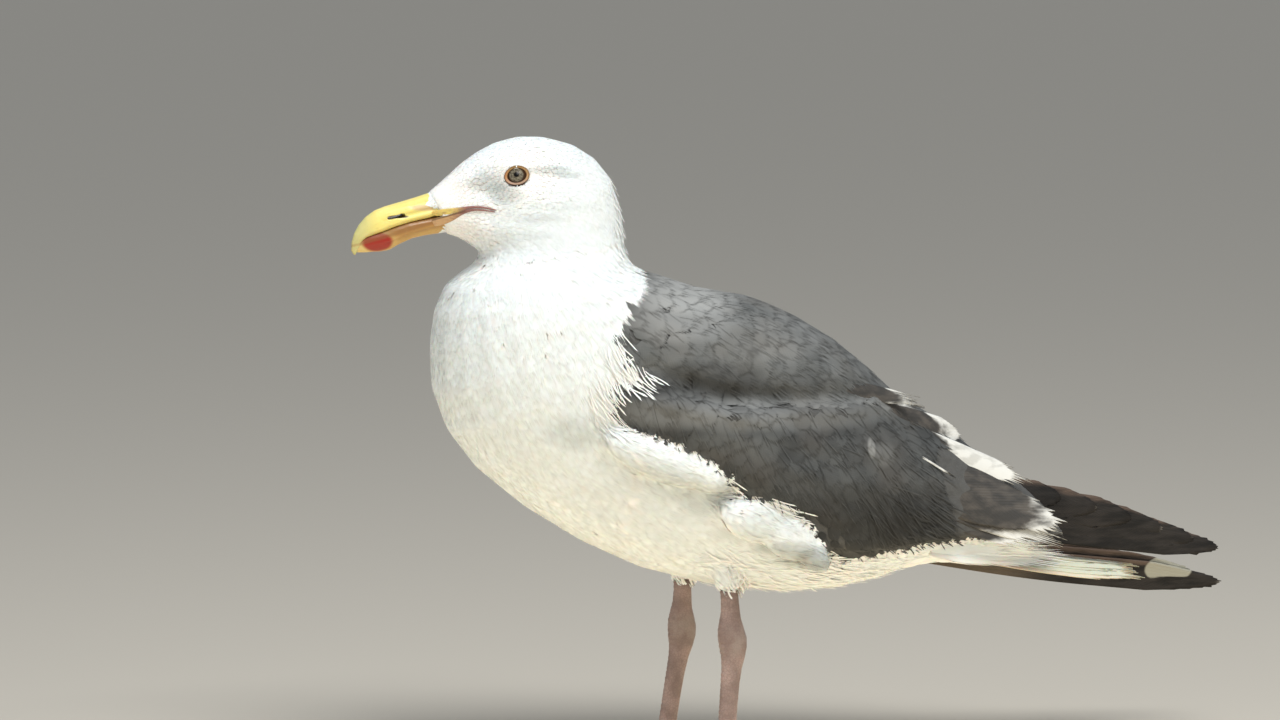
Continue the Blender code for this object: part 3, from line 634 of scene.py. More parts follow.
def unwrap(points):
    """Where points lie on the body's skin: along its axis and around it, 0 to 1."""
    axis = np.array([(x, 0.0, z) for x, z in AXIS]) * MM
    runs = np.diff(axis, axis=0)
    lengths = np.linalg.norm(runs, axis=1)
    begun = np.concatenate(([0.0], np.cumsum(lengths)))
    best = np.full(len(points), np.inf)
    along = np.zeros(len(points))
    around = np.zeros(len(points))
    for start, run, length, before in zip(axis, runs, lengths, begun):
        share = clamp(((points - start) @ run) / length ** 2)
        off = points - start - share[:, None] * run
        gap = np.linalg.norm(off, axis=1)
        upwards = np.cross(run / length, (0.0, 1.0, 0.0))
        turn = np.arctan2(off[:, 1], off @ upwards) / math.tau + 0.5
        closer = gap < best
        best = np.where(closer, gap, best)
        along = np.where(closer, (before + share * length) / begun[-1], along)
        around = np.where(closer, turn, around)
    return np.column_stack((along, around))


# ---------------------------------------------------------------------- feathers

def feather_shapes(columns, rows, split, ragged, blunt, random, root=0.4, variants=5):
    """Several feathers, each as points (along, across) and faces, with combed ends.

    The vane is whole up to split, and its barbs beyond it are points of uneven
    length. A blunt end is round; ragged is how much the barbs' lengths differ.
    """
    shapes = []
    for _ in range(variants):
        across = np.linspace(-1.0, 1.0, columns + 1)
        points, faces = [], []
        for row in range(rows + 1):
            share = row / rows
            width = root + (1.0 - root) * math.sin(min(share * 1.4, 1.0) * math.pi / 2.0)
            reach = split * share * (1.0 - blunt * share * across ** 2)
            points += list(zip(reach, across * width))
        for row in range(rows):
            for column in range(columns):
                here = row * (columns + 1) + column
                there = here + columns + 1
                faces += [(here, here + 1, there + 1), (here, there + 1, there)]
        for column in range(columns):
            here = rows * (columns + 1) + column
            middle = (across[column] + across[column + 1]) / 2.0
            edge = split * (1.0 - blunt * middle ** 2)
            end = 1.0 - blunt * middle ** 2
            reach = edge + (end - edge) * (1.0 - ragged * random.random())
            slip = random.normal(0.0, 0.5 / columns)
            points.append((reach, middle * (1.0 - 0.25 * (1.0 - split)) + slip))
            faces.append((here, here + 1, len(points) - 1))
        shapes.append((np.array(points), np.array(faces)))
    return shapes


class Coat:
    """Feathers gathered into one piece."""

    def __init__(self):
        self.points, self.faces, self.vanes = [], [], []
        self.roots, self.tones, self.ups = [], [], []
        self.count = 0

    def place(self, path, normals, widths, shapes, rise, random, dome=0.12, twist=0.12,
              bend=0.08, tones=None, curl=0.12, surface=None):
        """Feathers on paths of three places each: root, middle and end.

        rise is how far root and end stand off their path, in millimetres, and curl is
        how round each one looks. Over a surface they bend to its shape.
        """
        count = len(widths)
        rise = np.broadcast_to(np.asarray(rise, float), (count, 2)) * MM
        tones = random.random(count) if tones is None else tones
        variant = random.integers(len(shapes), size=count)
        lengths = np.linalg.norm(path[2] - path[0], axis=1)
        twists = random.normal(0.0, twist, count)
        bends = random.normal(0.0, bend, count) * lengths
        for number, (spots, faces) in enumerate(shapes):
            chosen = variant == number
            if not chosen.any():
                continue
            u, v = spots[:, 0], spots[:, 1]
            shares = ((1 - u) * (1 - 2 * u), 4 * u * (1 - u), u * (2 * u - 1))
            slopes = (4 * u - 3, 4 - 8 * u, 4 * u - 1)
            centre = sum(s[None, :, None] * p[chosen][:, None] for s, p in zip(shares, path))
            ahead = sum(s[None, :, None] * p[chosen][:, None] for s, p in zip(slopes, path))
            up = unit(sum(s[None, :, None] * n[chosen][:, None]
                          for s, n in zip(((1 - u) ** 2, 2 * u * (1 - u), u ** 2), normals)))
            side = unit(np.cross(ahead, up))
            lean = twists[chosen][:, None, None]
            side, up = (side * np.cos(lean) + up * np.sin(lean),
                        up * np.cos(lean) - side * np.sin(lean))
            half = widths[chosen][:, None] / 2.0
            low, high = rise[chosen][:, :1], rise[chosen][:, 1:]
            lift = low + (high - low) * u ** 1.3 - dome * half * v ** 2
            shift = v * half + bends[chosen][:, None] * u ** 2
            made = centre + side * shift[..., None]
            if surface:
                made, up = (part.reshape(made.shape) for part in surface.snap(made.reshape(-1, 3)))
            made = made + up * lift[..., None]
            total = int(chosen.sum())
            steps = (np.arange(total) * len(u))[:, None, None] + self.count
            self.points.append(made.reshape(-1, 3))
            self.ups.append(unit(up + side * (v * curl)[:, None]).reshape(-1, 3))
            self.faces.append((faces[None] + steps).reshape(-1, 3))
            self.vanes.append(np.tile(np.column_stack((v / 2 + 0.5, u)), (total, 1)))
            self.roots.append(np.repeat(path[0][chosen], len(u), axis=0))
            self.tones.append(np.repeat(tones[chosen], len(u)))
            self.count += total * len(u)

    def place_one(self, path, outwards, width, shapes, rise, random, **how):
        """A single feather: three places, and the way that it faces at each."""
        path, outwards = (np.array([tuple(row) for row in rows])[:, None]
                          for rows in (path, outwards))
        self.place(path, outwards, np.array([width * MM]), shapes, rise, random, **how)

    def lay(self, surface, roots, normals, lengths, widths, shapes, rise, random, lie=LIE,
            swirl=0.1, **how):
        """Feathers that follow a surface from their roots; sizes in millimetres."""
        lengths = np.broadcast_to(np.asarray(lengths, float), len(roots)) * MM
        widths = np.broadcast_to(np.asarray(widths, float), len(roots)) * MM
        half = lengths[:, None] / 2.0
        ways = lie_at(roots, lie) + random.normal(0.0, swirl, (len(roots), 3))
        ways = along_surface(ways, normals)
        middle, middle_up = surface.snap(roots + ways * half)
        ways = along_surface(unit(middle - roots) + lie_at(middle, lie), middle_up)
        end, end_up = surface.snap(middle + ways * half)
        self.place((roots, middle, end), (normals, middle_up, end_up), widths, shapes,
                   rise, random, surface=surface, **how)

    def finish(self, name, material, slot, *replaced, patch=0.003, stiff=False):
        """The piece, with a map of feathers, a map for baking and a tone for each.

        A coat is shaded like the surface it lies on, and stiff vanes get a body.
        """
        points, faces = np.concatenate(self.points), np.concatenate(self.faces)
        vanes, roots = np.concatenate(self.vanes), np.concatenate(self.roots)
        mesh = bpy.data.meshes.new(name)
        mesh.vertices.add(len(points))
        mesh.vertices.foreach_set("co", points.ravel())
        mesh.loops.add(faces.size)
        mesh.loops.foreach_set("vertex_index", faces.ravel().astype(np.int32))
        mesh.polygons.add(len(faces))
        mesh.polygons.foreach_set("loop_start", np.arange(0, faces.size, 3, dtype=np.int32))
        spots = unwrap(roots)
        low, high = spots.min(axis=0), spots.max(axis=0)
        spots = 0.01 + 0.98 * (spots - low) / np.maximum(high - low, 1e-6)
        spots += patch * (vanes - 0.5)
        for title, layer in (("OFBake", spots), ("vane", vanes)):
            uv = mesh.uv_layers.new(name=title)
            uv.data.foreach_set("uv", layer[faces.ravel()].ravel())
        add_mark(mesh, "tone", np.concatenate(self.tones))
        mesh.update()
        mesh.shade_smooth()
        if not stiff:
            mesh.normals_split_custom_set_from_vertices(np.concatenate(self.ups).tolist())
        mesh.materials.append(material)
        piece = add_piece(name, mesh, slot, *replaced)
        if stiff:
            modify(piece, "SOLIDIFY", thickness=stiff * MM)


# -------------------------------------------------------------------------- skin

FLESH = {
    "white": ("head", "neck", "trunk", "thigh_left", "thigh_right"),
    "slate": ("mantle",),
    "wing": ("wing_left", "wing_right"),
}


def flank_pad(pad, side):
    """A swelling of flank feathers that laps over the wing's lower edge."""
    place, length, height, thickness, slope = pad
    bm = bmesh.new()
    bmesh.ops.create_icosphere(bm, subdivisions=4, radius=1.0)
    x, y, z = place
    form = Matrix.Diagonal((*mm(length, thickness, height), 1.0))
    tilt = Matrix.Rotation(math.radians(-slope), 4, "Y")
    spot = Matrix.Translation(mm(x, -side * y, z))
    bmesh.ops.transform(bm, matrix=spot @ tilt @ form, verts=bm.verts)
    return bm


def tree_of(bms):
    """A search tree over several bmeshes, which are freed."""
    whole = bmesh.new()
    for bm in bms:
        pour(bm, whole)
    tree = BVHTree.FromBMesh(whole)
    whole.free()
    return tree


def make_form():
    """The outline of all feathers, as one closed surface that knows its tracts."""
    whole = bmesh.new()
    for names in FLESH.values():
        for name in names:
            pour(node_bmesh(name, WELD / 4.0), whole)
    for name in ("eye_left", "eye_right"):
        pour(node_bmesh(name, WELD / 2.0), whole)
    for _, side in SIDES:
        for pad in FLANK_PADS:
            pour(flank_pad(pad, side), whole)
    mesh = remeshed(whole, SKIN_VOXEL)
    relax(mesh, 10)
    trees = [tree_of([node_bmesh(name) for name in names]) for names in FLESH.values()]
    trees.append(tree_of([flank_pad(pad, side) for _, side in SIDES for pad in FLANK_PADS]))
    form = Surface(mesh)
    gaps = np.array([[tree.find_nearest(place)[3] for tree in trees]
                     for place in form.places.tolist()])
    gaps[:, PAD] -= 0.5 * MM
    head = (form.places[:, 2] > 0.295)[:, None]
    places = pressed(form.places, form.normals * head, FACE_FOLDS)
    places = pressed(places, form.normals * ~head, WING_FOLDS, 30.0)
    move_to(mesh, places)
    relax(mesh, 4)
    x, _, z = places.T / MM
    dark = np.where(z < height_on(CREASE, x), WING, SLATE)
    tract = np.where(inside(x, z, DARK_EDGE), dark, WHITE)
    return Surface(mesh, np.where(gaps.argmin(axis=1) == PAD, PAD, tract))


def face_nearness(points):
    """1 at the bill and eyes, falling to 0 some way off, where the coat is full."""
    bill = np.linalg.norm(points - np.array((-0.2145, 0.0, 0.314)), axis=1) / (30.0 * MM)
    far = np.minimum(bill, 0.25 + 0.30 * eye_reach(points))
    return clamp(1.5 - far)


def make_skin(surface):
    """The skin itself, which lies inside the outline by the coat's depth."""
    points, normals = surface.places, surface.normals
    head = (points[:, 2] > 0.292) & (points[:, 0] < -0.10)
    depth = np.where(head, HEAD_DEPTH, np.choose(surface.tract, COAT_DEPTHS))
    depth = depth + (FACE_DEPTH - depth) * face_nearness(points)
    depth += SOCKET_DEPTH * clamp(1.9 - 1.8 * eye_reach(points))
    inwards = points - normals * 0.1 * MM
    hits = [surface.tree.ray_cast(place, way)[3]
            for place, way in zip(inwards.tolist(), (-normals).tolist())]
    thick = np.array([hit if hit is not None else 1.0 for hit in hits])
    depth = np.minimum(depth * MM, 0.3 * thick)
    mesh = surface.mesh.copy()
    add_mark(mesh, "mark", np.isin(surface.tract, (SLATE, WING)))
    move_to(mesh, points - normals * depth[:, None])
    mesh.shade_smooth()
    skin = Finish("down skin", Roughness=0.9)
    shade = skin.blend(skin.noise(400.0), (0.80, 0.79, 0.76), (0.86, 0.85, 0.82))
    # Painted shade of the face and flanks, the same as on the feathers.
    shade = skin.light_shade_and_marks(shade, FACE_PAINTED_SHADE + FLANK_PAINTED_SHADE, SHADE)
    slate = skin.blend(skin.noise(300.0), (0.055, 0.056, 0.055), (0.095, 0.097, 0.095))
    colour = skin.blend(skin.step(skin.attribute("mark"), 0.4, 0.6), shade, slate)
    mesh.materials.append(skin.paint(colour, bump=skin.noise(900.0), height=0.4))
    replaced = [name for names in FLESH.values() for name in names]
    add_piece("skin", mesh, "white_feathers", *replaced)


# -------------------------------------------------------------------------- head

def eye_reach(points):
    """How far points lie from the middle of an eye; 1 is the edge of its ring."""
    x, z = points[:, 0] / MM - EYE_SPOT[0], points[:, 2] / MM - EYE_SPOT[1]
    tilt = math.radians(EYE_TILT)
    along = x * math.cos(tilt) + z * math.sin(tilt)
    upwards = z * math.cos(tilt) - x * math.sin(tilt)
    far = np.hypot(along / EYE_RING[0], upwards / EYE_RING[1])
    return np.where(np.abs(points[:, 1]) > 8.0 * MM, far, 9.0)


def gape_reach(points):
    """How far points lie from the fleshy strips at the mouth; 1 is a strip's edge."""
    flat = points[:, ::2] / MM
    best = np.full(len(points), 9.0)
    for strip in (GAPE_UPPER, GAPE_LOWER):
        strip = np.array(strip)
        for start, end in zip(strip, strip[1:]):
            share, gap = beside(flat, start[:2], end[:2] - start[:2])
            best = np.minimum(best, gap / (start[2] + (end[2] - start[2]) * share))
    return best


def horn_finish(name, low, high, rise):
    """Smooth waxy horn, whose colour goes from low to high over its height: partly its own
    yellow and orange, partly painted light on top of the upper half and painted shade where
    the lower half lies under the upper one's rim.
    """
    horn = Finish(name, Roughness=0.4, Specular_IOR_Level=0.35, Coat_Weight=0.12,
                  Coat_Roughness=0.25, Subsurface_Weight=0.12, Subsurface_Scale=0.002)
    height = (horn.z - 0.3105) - (horn.x + 0.2135) * 0.28
    patches = horn.noise(220.0, 4.0, stretch=(0.5, 1.0, 1.0))
    share = horn.step(height + (patches - 0.5) * 0.006, rise[0] * MM, rise[1] * MM)
    colour = horn.layers(
        low, (share, high), (horn.step(patches, 0.55, 0.85) * 0.25, (0.86, 0.80, 0.55)))
    fleck = horn.noise(900.0, 3.0, stretch=(0.25, 1.0, 1.0))
    return horn, colour, height, patches, fleck


def waxed(horn, colour, patches, fleck):
    return horn.paint(colour, horn.step(patches, 0.3, 0.8) * 0.12 + 0.28, fleck, 0.08, 0.4)


def upper_horn():
    # Orange low on the upper half and yellow on top: partly own colour, partly painted shade below
    # and painted light along the ridge.
    horn, colour, height, patches, fleck = horn_finish(
        "upper bill", (0.46, 0.33, 0.09), (0.76, 0.66, 0.20), (0.0, 6.0))
    wedge = horn.oval(-222.5, 317.2, 8.0, 1.7, 0.7)
    hook = horn.step(horn.x, -0.2475, -0.259)
    # Painted shade: a dark line along the lower edge, where the two halves meet.
    edge = horn.step(horn.absolute(height + 0.0004), 0.0011, 0.0003)
    # Painted shade: the nostril's opening is painted near black inside.
    nostril = horn.oval(-237.8, 312.4, 5.8, 0.9, 0.35)
    colour = horn.layers(
        colour, (wedge * 0.6, (0.50, 0.33, 0.24)), (hook * 0.8, (0.53, 0.51, 0.22)),
        (horn.step(fleck, 0.62, 0.72) * 0.2, (0.30, 0.17, 0.06)),
        (edge * 0.45, (0.35, 0.18, 0.06)), (nostril * 0.9, (0.03, 0.015, 0.01)))
    return waxed(horn, colour, patches, fleck)


def lower_horn():
    # Darker towards the top of the lower half: partly own colour, partly painted shade under the
    # upper half's rim.
    horn, colour, height, patches, fleck = horn_finish(
        "lower bill", (0.56, 0.36, 0.12), (0.36, 0.19, 0.055), (-7.0, -1.0))
    end = horn.step(horn.x, -0.236, -0.252)
    red = horn.oval(-249.2, 298.2, 8.6, 5.4, 0.55) * (0.75 + patches * 0.4)
    # Painted shade: darker just under the upper half's rim, along the top of the lower half.
    lip_shade = horn.step(height, -0.0022, -0.0004)
    colour = horn.layers(
        colour, (end * 0.6, (0.74, 0.62, 0.24)),
        (horn.step(red, 0.05, 0.9), (0.30, 0.022, 0.012)), (lip_shade * 0.55, (0.22, 0.10, 0.04)))
    return waxed(horn, colour, patches, fleck)


def make_bill():
    """Both halves of the bill, smooth horn with furrows; gives back their surfaces."""
    horns = []
    back = Vector((0.907, 0.0, 0.421))
    for node, furrows, horn, slot in (
            ("upper_bill", UPPER_FURROWS, upper_horn(), "bill_horn"),
            ("lower_bill", LOWER_FURROWS, lower_horn(), "lower_bill_horn")):
        bm = node_bmesh(node)
        base = max(vertex.co @ back for vertex in bm.verts)
        for vertex in bm.verts:
            if vertex.co @ back > base - 0.2 * MM:
                vertex.co += back * 3.0 * MM
        if node == "lower_bill":
            for vertex in bm.verts:
                vertex.co.z += 1.3 * MM * max(0.0, vertex.normal.z)
                vertex.co.x -= 3.2 * MM * min(1.0, max(0.0, (-0.2475 - vertex.co.x) / 0.008))
        mesh = remeshed(bm, 0.4)
        relax(mesh, 50)
        whole = Surface(mesh)
        move_to(mesh, pressed(whole.places, whole.normals, furrows, 1.0))
        mesh.materials.append(horn)
        add_piece(node + "_horn", mesh, slot, node)
        horns.append(Surface(mesh))
    return horns


def make_gape(surface, name, side):
    """Fleshy strips that carry the two halves of the bill back to the mouth's corner."""
    flesh = Finish("gape " + name, Roughness=0.5, Subsurface_Weight=0.15, Subsurface_Scale=0.002)
    grain = flesh.noise(900.0, 3.0, stretch=(0.3, 1.0, 1.0))
    back = flesh.step(flesh.x + (grain - 0.5) * 0.004, -0.2105, -0.2005)
    rise = flesh.z - 0.3129 - (flesh.x + 0.2101) * 0.30
    top = flesh.step(rise, -0.0006, 0.0008)
    # Painted shade: a dark line between the two strips towards the back, where the mouth closes.
    slit_shade = flesh.step(flesh.absolute(rise), 0.0008, 0.0003) * flesh.step(flesh.x, -0.199, -0.203)
    colour = flesh.layers(
        (0.50, 0.31, 0.15), (top, (0.68, 0.53, 0.15)), (back, (0.25, 0.115, 0.10)),
        (flesh.step(grain, 0.45, 0.8) * 0.5, (0.13, 0.05, 0.045)), (slit_shade * 0.8, (0.10, 0.04, 0.02)))
    finish = flesh.paint(colour, bump=grain, height=0.12, strength=0.6)
    bm = bmesh.new()
    bm.from_mesh(surface.mesh)
    face = tree_of([bm, node_bmesh("upper_bill"), node_bmesh("lower_bill")])
    bm = bmesh.new()
    for strip in (GAPE_UPPER, GAPE_LOWER):
        places, normals = [], []
        for x, z, _ in strip:
            hit, normal = from_side(face, x, z, side)
            places.append(hit)
            normals.append(normal)
        run = unit(np.gradient(np.array(places), axis=0))
        outwards = along_surface(np.array(normals), run)
        across = np.cross(run, outwards)
        sizes = [(height * MM, (0.42 - 0.06 * height) * MM) for _, _, height in strip]
        offsets = [-0.6, -0.12] + [0.05] * (len(strip) - 2)
        sweep(bm, [(place + out * offset * MM, side_way, out, *size)
                   for place, side_way, out, size, offset
                   in zip(places, across, outwards, sizes, offsets)])
    piece = add_piece("gape_" + name, mesh_of(bm, "gape", finish), "lower_bill_horn")
    modify(piece, "SUBSURF", levels=2, render_levels=2)


def eye_frame(surface, side):
    """Axes at an eye: back along the head, up across it and outwards."""
    turns = np.linspace(0.0, math.tau, 16, endpoint=False)
    rim = [from_side(surface.tree, EYE_SPOT[0] + 1.35 * EYE_RING[0] * math.cos(turn),
                     EYE_SPOT[1] + 1.5 * EYE_RING[1] * math.sin(turn), side)[0]
           for turn in turns]
    middle = np.mean(rim, axis=0)
    outwards = np.linalg.svd(np.array(rim) - middle)[2][2]
    outwards *= np.sign(outwards[1]) * side
    tilt = math.radians(EYE_TILT)
    along = along_surface(np.array((math.cos(tilt), 0.0, math.sin(tilt))), outwards)
    upwards = np.cross(outwards, along) * -side
    form = Matrix((along, upwards, outwards)).transposed().to_4x4()
    return Matrix.Translation(middle) @ form


def iris_finish(name, front):
    """A grey speckled iris with a dark rim round a small black pupil."""
    iris = Finish("iris " + name, Roughness=0.25, Specular_IOR_Level=0.12, Coat_Weight=0.03,
                  Coat_Roughness=0.05)
    away = iris.add("ShaderNodeVectorMath", {"operation": "DISTANCE"},
                    {0: iris.place, 1: tuple(front)}, "Value")
    speckle = iris.noise(1500.0, 4.0)
    ray = iris.cells(900.0)
    rim = iris.step(away + (speckle - 0.5) * 0.0006, 0.0034, 0.0047)
    inner, pupil = iris.step(away, 0.0021, 0.0014), iris.step(away, 0.00155, 0.00135)
    return iris.paint(iris.layers(
        (0.055, 0.045, 0.032),
        (iris.step(speckle * 0.7 + ray * 0.3, 0.35, 0.65), (0.20, 0.18, 0.13)),
        (rim, (0.035, 0.017, 0.008)), (inner * 0.5, (0.05, 0.035, 0.02)),
        (pupil, (0.002, 0.002, 0.002))))


def lid_finish(name):
    """Bare skin: ochre above, orange at the front corner and pale pink below."""
    lid = Finish("lids " + name, Roughness=0.5, Subsurface_Weight=0.15, Subsurface_Scale=0.001)
    grain = lid.noise(1400.0, 3.0)
    below = lid.step(lid.z, (EYE_SPOT[1] - 1.0) * MM, (EYE_SPOT[1] - 4.0) * MM)
    front = lid.step(lid.x, (EYE_SPOT[0] - 3.5) * MM, (EYE_SPOT[0] - 6.5) * MM)
    colour = lid.layers(
        (0.36, 0.21, 0.075), (below, (0.40, 0.27, 0.19)), (front * 0.8, (0.40, 0.16, 0.05)),
        (lid.attribute("edge") * 0.85, (0.07, 0.03, 0.014)),
        (lid.step(grain, 0.5, 0.75) * 0.4, (0.42, 0.21, 0.08)))
    return lid.paint(colour, bump=grain, height=0.12, strength=0.7)


def make_eye(surface, name, side):
    """The eyeball, and the ring of lids round its opening."""
    here = eye_frame(surface, side)
    bm = bmesh.new()
    bmesh.ops.create_uvsphere(bm, u_segments=48, v_segments=32, radius=1.0)
    deep = EYE_BULGE - EYE_DEPTH
    size = Matrix.Diagonal((*mm(EYE_RADIUS, EYE_RADIUS, EYE_DEPTH), 1.0))
    bmesh.ops.transform(bm, matrix=here @ Matrix.Translation(mm(0, 0, deep)) @ size,
                        verts=bm.verts)
    front = here @ mm(-0.25, 0.35, EYE_BULGE)
    add_piece("eyeball_" + name, mesh_of(bm, "eyeball", iris_finish(name, front)), "eye",
              "eye_" + name)

    bm = bmesh.new()
    profile = [bm.verts.new((1.0 + share, 0.0, height)) for share, height in LID_PROFILE]
    line = [bm.edges.new(pair) for pair in zip(profile, profile[1:])]
    bmesh.ops.spin(bm, geom=profile + line, axis=(0.0, 0.0, 1.0), cent=(0.0, 0.0, 0.0),
                   angle=math.tau, steps=64, use_merge=True)
    for vertex in bm.verts:
        share = math.hypot(vertex.co.x, vertex.co.y) - 1.0
        turn = math.atan2(vertex.co.y, vertex.co.x)
        inner, outer = ((width * math.cos(turn), height * math.sin(turn))
                        for width, height in (EYE_OPENING, EYE_RING))
        ball = deep + EYE_DEPTH * math.sqrt(1.0 - math.hypot(*inner) ** 2 / EYE_RADIUS ** 2)
        hit, _, _, _ = surface.tree.ray_cast(here @ mm(*outer, 20.0), -here.col[2].to_3d())
        face = (here.inverted() @ hit).z / MM + 0.3
        height = ball * (1.0 - share) ** 1.5 + face * share + vertex.co.z
        vertex.co = mm(*(a + (b - a) * share for a, b in zip(inner, outer)), height)
    bmesh.ops.transform(bm, matrix=here, verts=bm.verts)
    bmesh.ops.recalc_face_normals(bm, faces=bm.faces)
    mesh = mesh_of(bm, "lids", lid_finish(name))
    flat = here.inverted()
    rims = []
    for vertex in mesh.vertices:
        x, y, _ = flat @ vertex.co / MM
        inner, outer = (math.hypot(x / width, y / height)
                        for width, height in (EYE_OPENING, EYE_RING))
        rims.append(max(1.0 - (inner - 1.0) / 0.14, (outer - 0.86) / 0.12, 0.0))
    add_mark(mesh, "edge", rims)
    lids = add_piece("lids_" + name, mesh, "leg_skin")
    modify(lids, "SOLIDIFY", thickness=0.5 * MM)
    modify(lids, "SUBSURF", levels=1, render_levels=1)


# ---------------------------------------------------------------------- body coat

def white_plumage(name="white plumage", shades=(), low=(0.81, 0.805, 0.78),
                  high=(0.90, 0.90, 0.88)):
    """Soft white feathers, with painted shade: a little darker where each one dips under the next.
    """
    white = Finish(name, Roughness=0.9, Specular_IOR_Level=0.1, Subsurface_Weight=0.2,
                   Subsurface_Scale=0.004)
    along, _, tone, barbs = white.vane(60.0, 22.0, 20.0)
    # Painted shade darkens each feather towards its root, where it lies under the next, mixed with
    # a random tone of each feather; the table's grey ovals are painted shade too.
    colour = white.blend(white.step(along * 0.8 + tone * 0.5, 0.1, 0.9), low, high)
    return white.paint(white.light_shade_and_marks(colour, shades, SHADE), bump=barbs, height=0.03, strength=0.2)


def make_body_coat(surface, horns, random):
    """White down from the bill to the tail, in five pieces."""
    points, kinds = surface.middles, surface.kinds
    white = np.isin(kinds, (WHITE, PAD))
    x, y, z = points.T / MM
    head = white & (z > 288.0 + (x + 185.0) * 0.16) & (x < -95.0)
    bare = (eye_reach(points) < 1.0) | (gape_reach(points) < 0.8)
    lap = WHITE_LAP * clamp((286.0 - z) / 26.0)
    white &= (kinds == PAD) | (x > -60.0) | ~reaches_dark(points, lap[:, None])
    near = white & ~head & (x < -120.0)
    far = white & ~head & ~near
    fine = feather_shapes(5, 2, 0.5, 0.7, 0.25, random)
    soft = feather_shapes(7, 3, 0.5, 0.75, 0.35, random)
    coat = Coat()
    roots, normals = surface.scatter(head & ~bare, 1.7, random)
    short = 1.0 - 0.62 * face_nearness(roots)
    short *= np.clip((eye_reach(roots) - 0.85) / 0.8, 0.25, 1.0)
    coat.lay(surface, roots, normals, 8.0 * short, np.maximum(4.0 * short, 1.5), fine,
             np.column_stack((-0.25 * short, 0.25 * short)), random, twist=0.0, swirl=0.07,
             dome=0.03, curl=0.1)
    for horn, outline in zip(horns, (BILL_FEATHERS, CHIN_FEATHERS)):
        roots, normals = horn.scatter(inside(*horn.middles.T[::2] / MM, outline), 0.75, random)
        coat.lay(horn, roots, normals, 3.6, 1.2, fine, (0.0, 0.3), random, swirl=0.2, dome=0.0)
    coat.finish("head_feathers", white_plumage("face plumage", FACE_PAINTED_SHADE), "white_feathers")
    plumage = white_plumage("flank plumage", FLANK_PAINTED_SHADE)
    dark = points[~np.isin(kinds, (WHITE, PAD))]
    for name, keep in (("breast_feathers_left", near & (y < 0.0)),
                       ("breast_feathers_right", near & (y >= 0.0)),
                       ("belly_feathers_left", far & (y < 0.0)),
                       ("belly_feathers_right", far & (y >= 0.0))):
        coat = Coat()
        roots, normals = surface.scatter(keep, 3.3, random)
        lengths = random.uniform(14.0, 19.0, len(roots))
        lengths = np.minimum(lengths, 5.0 + 1.2 * gap_to(dark, roots))
        coat.lay(surface, roots, normals, lengths, np.minimum(lengths, 7.5), soft, (-0.4, 0.3),
                 random, twist=0.0, swirl=0.08, dome=0.04, curl=0.1)
        coat.finish(name, plumage, "white_feathers")
    make_fringes(surface, plumage, random)


LEG_TUFTS = 90


def make_fringes(surface, plumage, random):
    """Loose hair-like barbs: at the nape, over the wings' edges and on the belly."""
    strand = feather_shapes(1, 3, 0.8, 0.3, 0.0, random, root=0.8)
    points = surface.middles
    white, pad = surface.kinds == WHITE, surface.kinds == PAD
    x, _, z = points.T / MM
    nape = white & (x > -118.0) & (x < -95.0) & (z > 292.0) & (z < 338.0)
    edge = np.array(DARK_EDGE[5:21]) * MM
    gap = np.linalg.norm(points[:, None, ::2] - edge[None], axis=2).min(axis=1) / MM
    neck = white & (gap < 14.0)
    belly = white & (x > -75.0) & (x < 40.0) & (z < 125.0)
    pads = pad & (gap > 5.0)
    coat = Coat()
    for keep, spacing, length, width, rise, swirl in (
            (nape, 3.4, 8.0, 1.2, (-0.2, 1.8), 0.18), (neck, 2.4, 13.0, 0.8, (0.1, 1.5), 0.2),
            (belly, 4.5, 14.0, 0.8, (-0.2, 1.8), 0.3), (pads, 6.5, 12.0, 0.6, (0.0, 0.6), 0.14)):
        roots, normals = surface.scatter(keep, spacing, random)
        lengths = length * random.uniform(0.7, 1.3, len(roots))
        if keep is pads:
            wing = points[surface.kinds == WING]
            lengths = np.minimum(lengths, 3.0 + gap_to(wing, roots))
        coat.lay(surface, roots, normals, lengths, width, strand, rise, random, twist=0.4,
                 swirl=swirl, bend=0.1)
    for name, _ in SIDES:
        knee = sum(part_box("tibia_" + name), Vector()) / 2.0
        for _ in range(LEG_TUFTS):
            turn, far = random.uniform(0.0, math.tau), random.uniform(4.0, 10.0) * MM
            way = Vector((math.cos(turn), math.sin(turn), 0.0))
            hit, _, _, _ = surface.tree.ray_cast(knee + way * far - mm(0, 0, 60), (0.0, 0.0, 1.0))
            if hit is None:
                continue
            length = random.uniform(4.0, 8.0) * MM
            end = hit - way * length * 0.15 + length * Vector((0.45, 0.0, -0.75))
            middle = (hit + end) / 2.0 + way * length * 0.1 + mm(0, 0, -0.8)
            coat.place_one((hit, middle, end), [way] * 3, 1.3, strand, (-0.5, 0.0), random,
                           twist=0.5)
    coat.finish("fringe_feathers", plumage, "white_feathers")


# ------------------------------------------------------------------------- wings

# The broad hind feathers of the wing, seen from the side: root and tip (x, z), width,
# height over the wing, how much of the end is white, where its barbs part, how unevenly.
TERTIALS = (
    ((50, 150), (137, 117), 15, 0.8, 0.3, 0.76, 0.9),
    ((46, 156), (151, 120.5), 18, 1.2, 0.34, 0.78, 0.9),
    ((24, 176), (147, 129), 33, 1.8, 0.115, 0.93, 0.8),
    ((32, 198), (130, 150), 13, 2.4, 0.52, 0.86, 0.9),
    ((24, 204), (90, 178), 17, 2.9, 0.2, 0.95, 0.4),
    ((8, 216), (70, 195), 10, 3.3, 0.34, 0.7, 0.9),
    ((4, 218), (62, 199.5), 9, 3.5, 0.26, 0.7, 0.9),
    ((40, 184), (80, 160), 1.2, 3, 0.5, 0.8, 0.9),
)
# Where those feathers show, and no others grow.
TERTIAL_PANEL = (
    (60, 186), (80, 179), (112, 167), (131, 152), (152, 128), (150, 112), (100, 116), (72, 126),
    (58, 150),
)
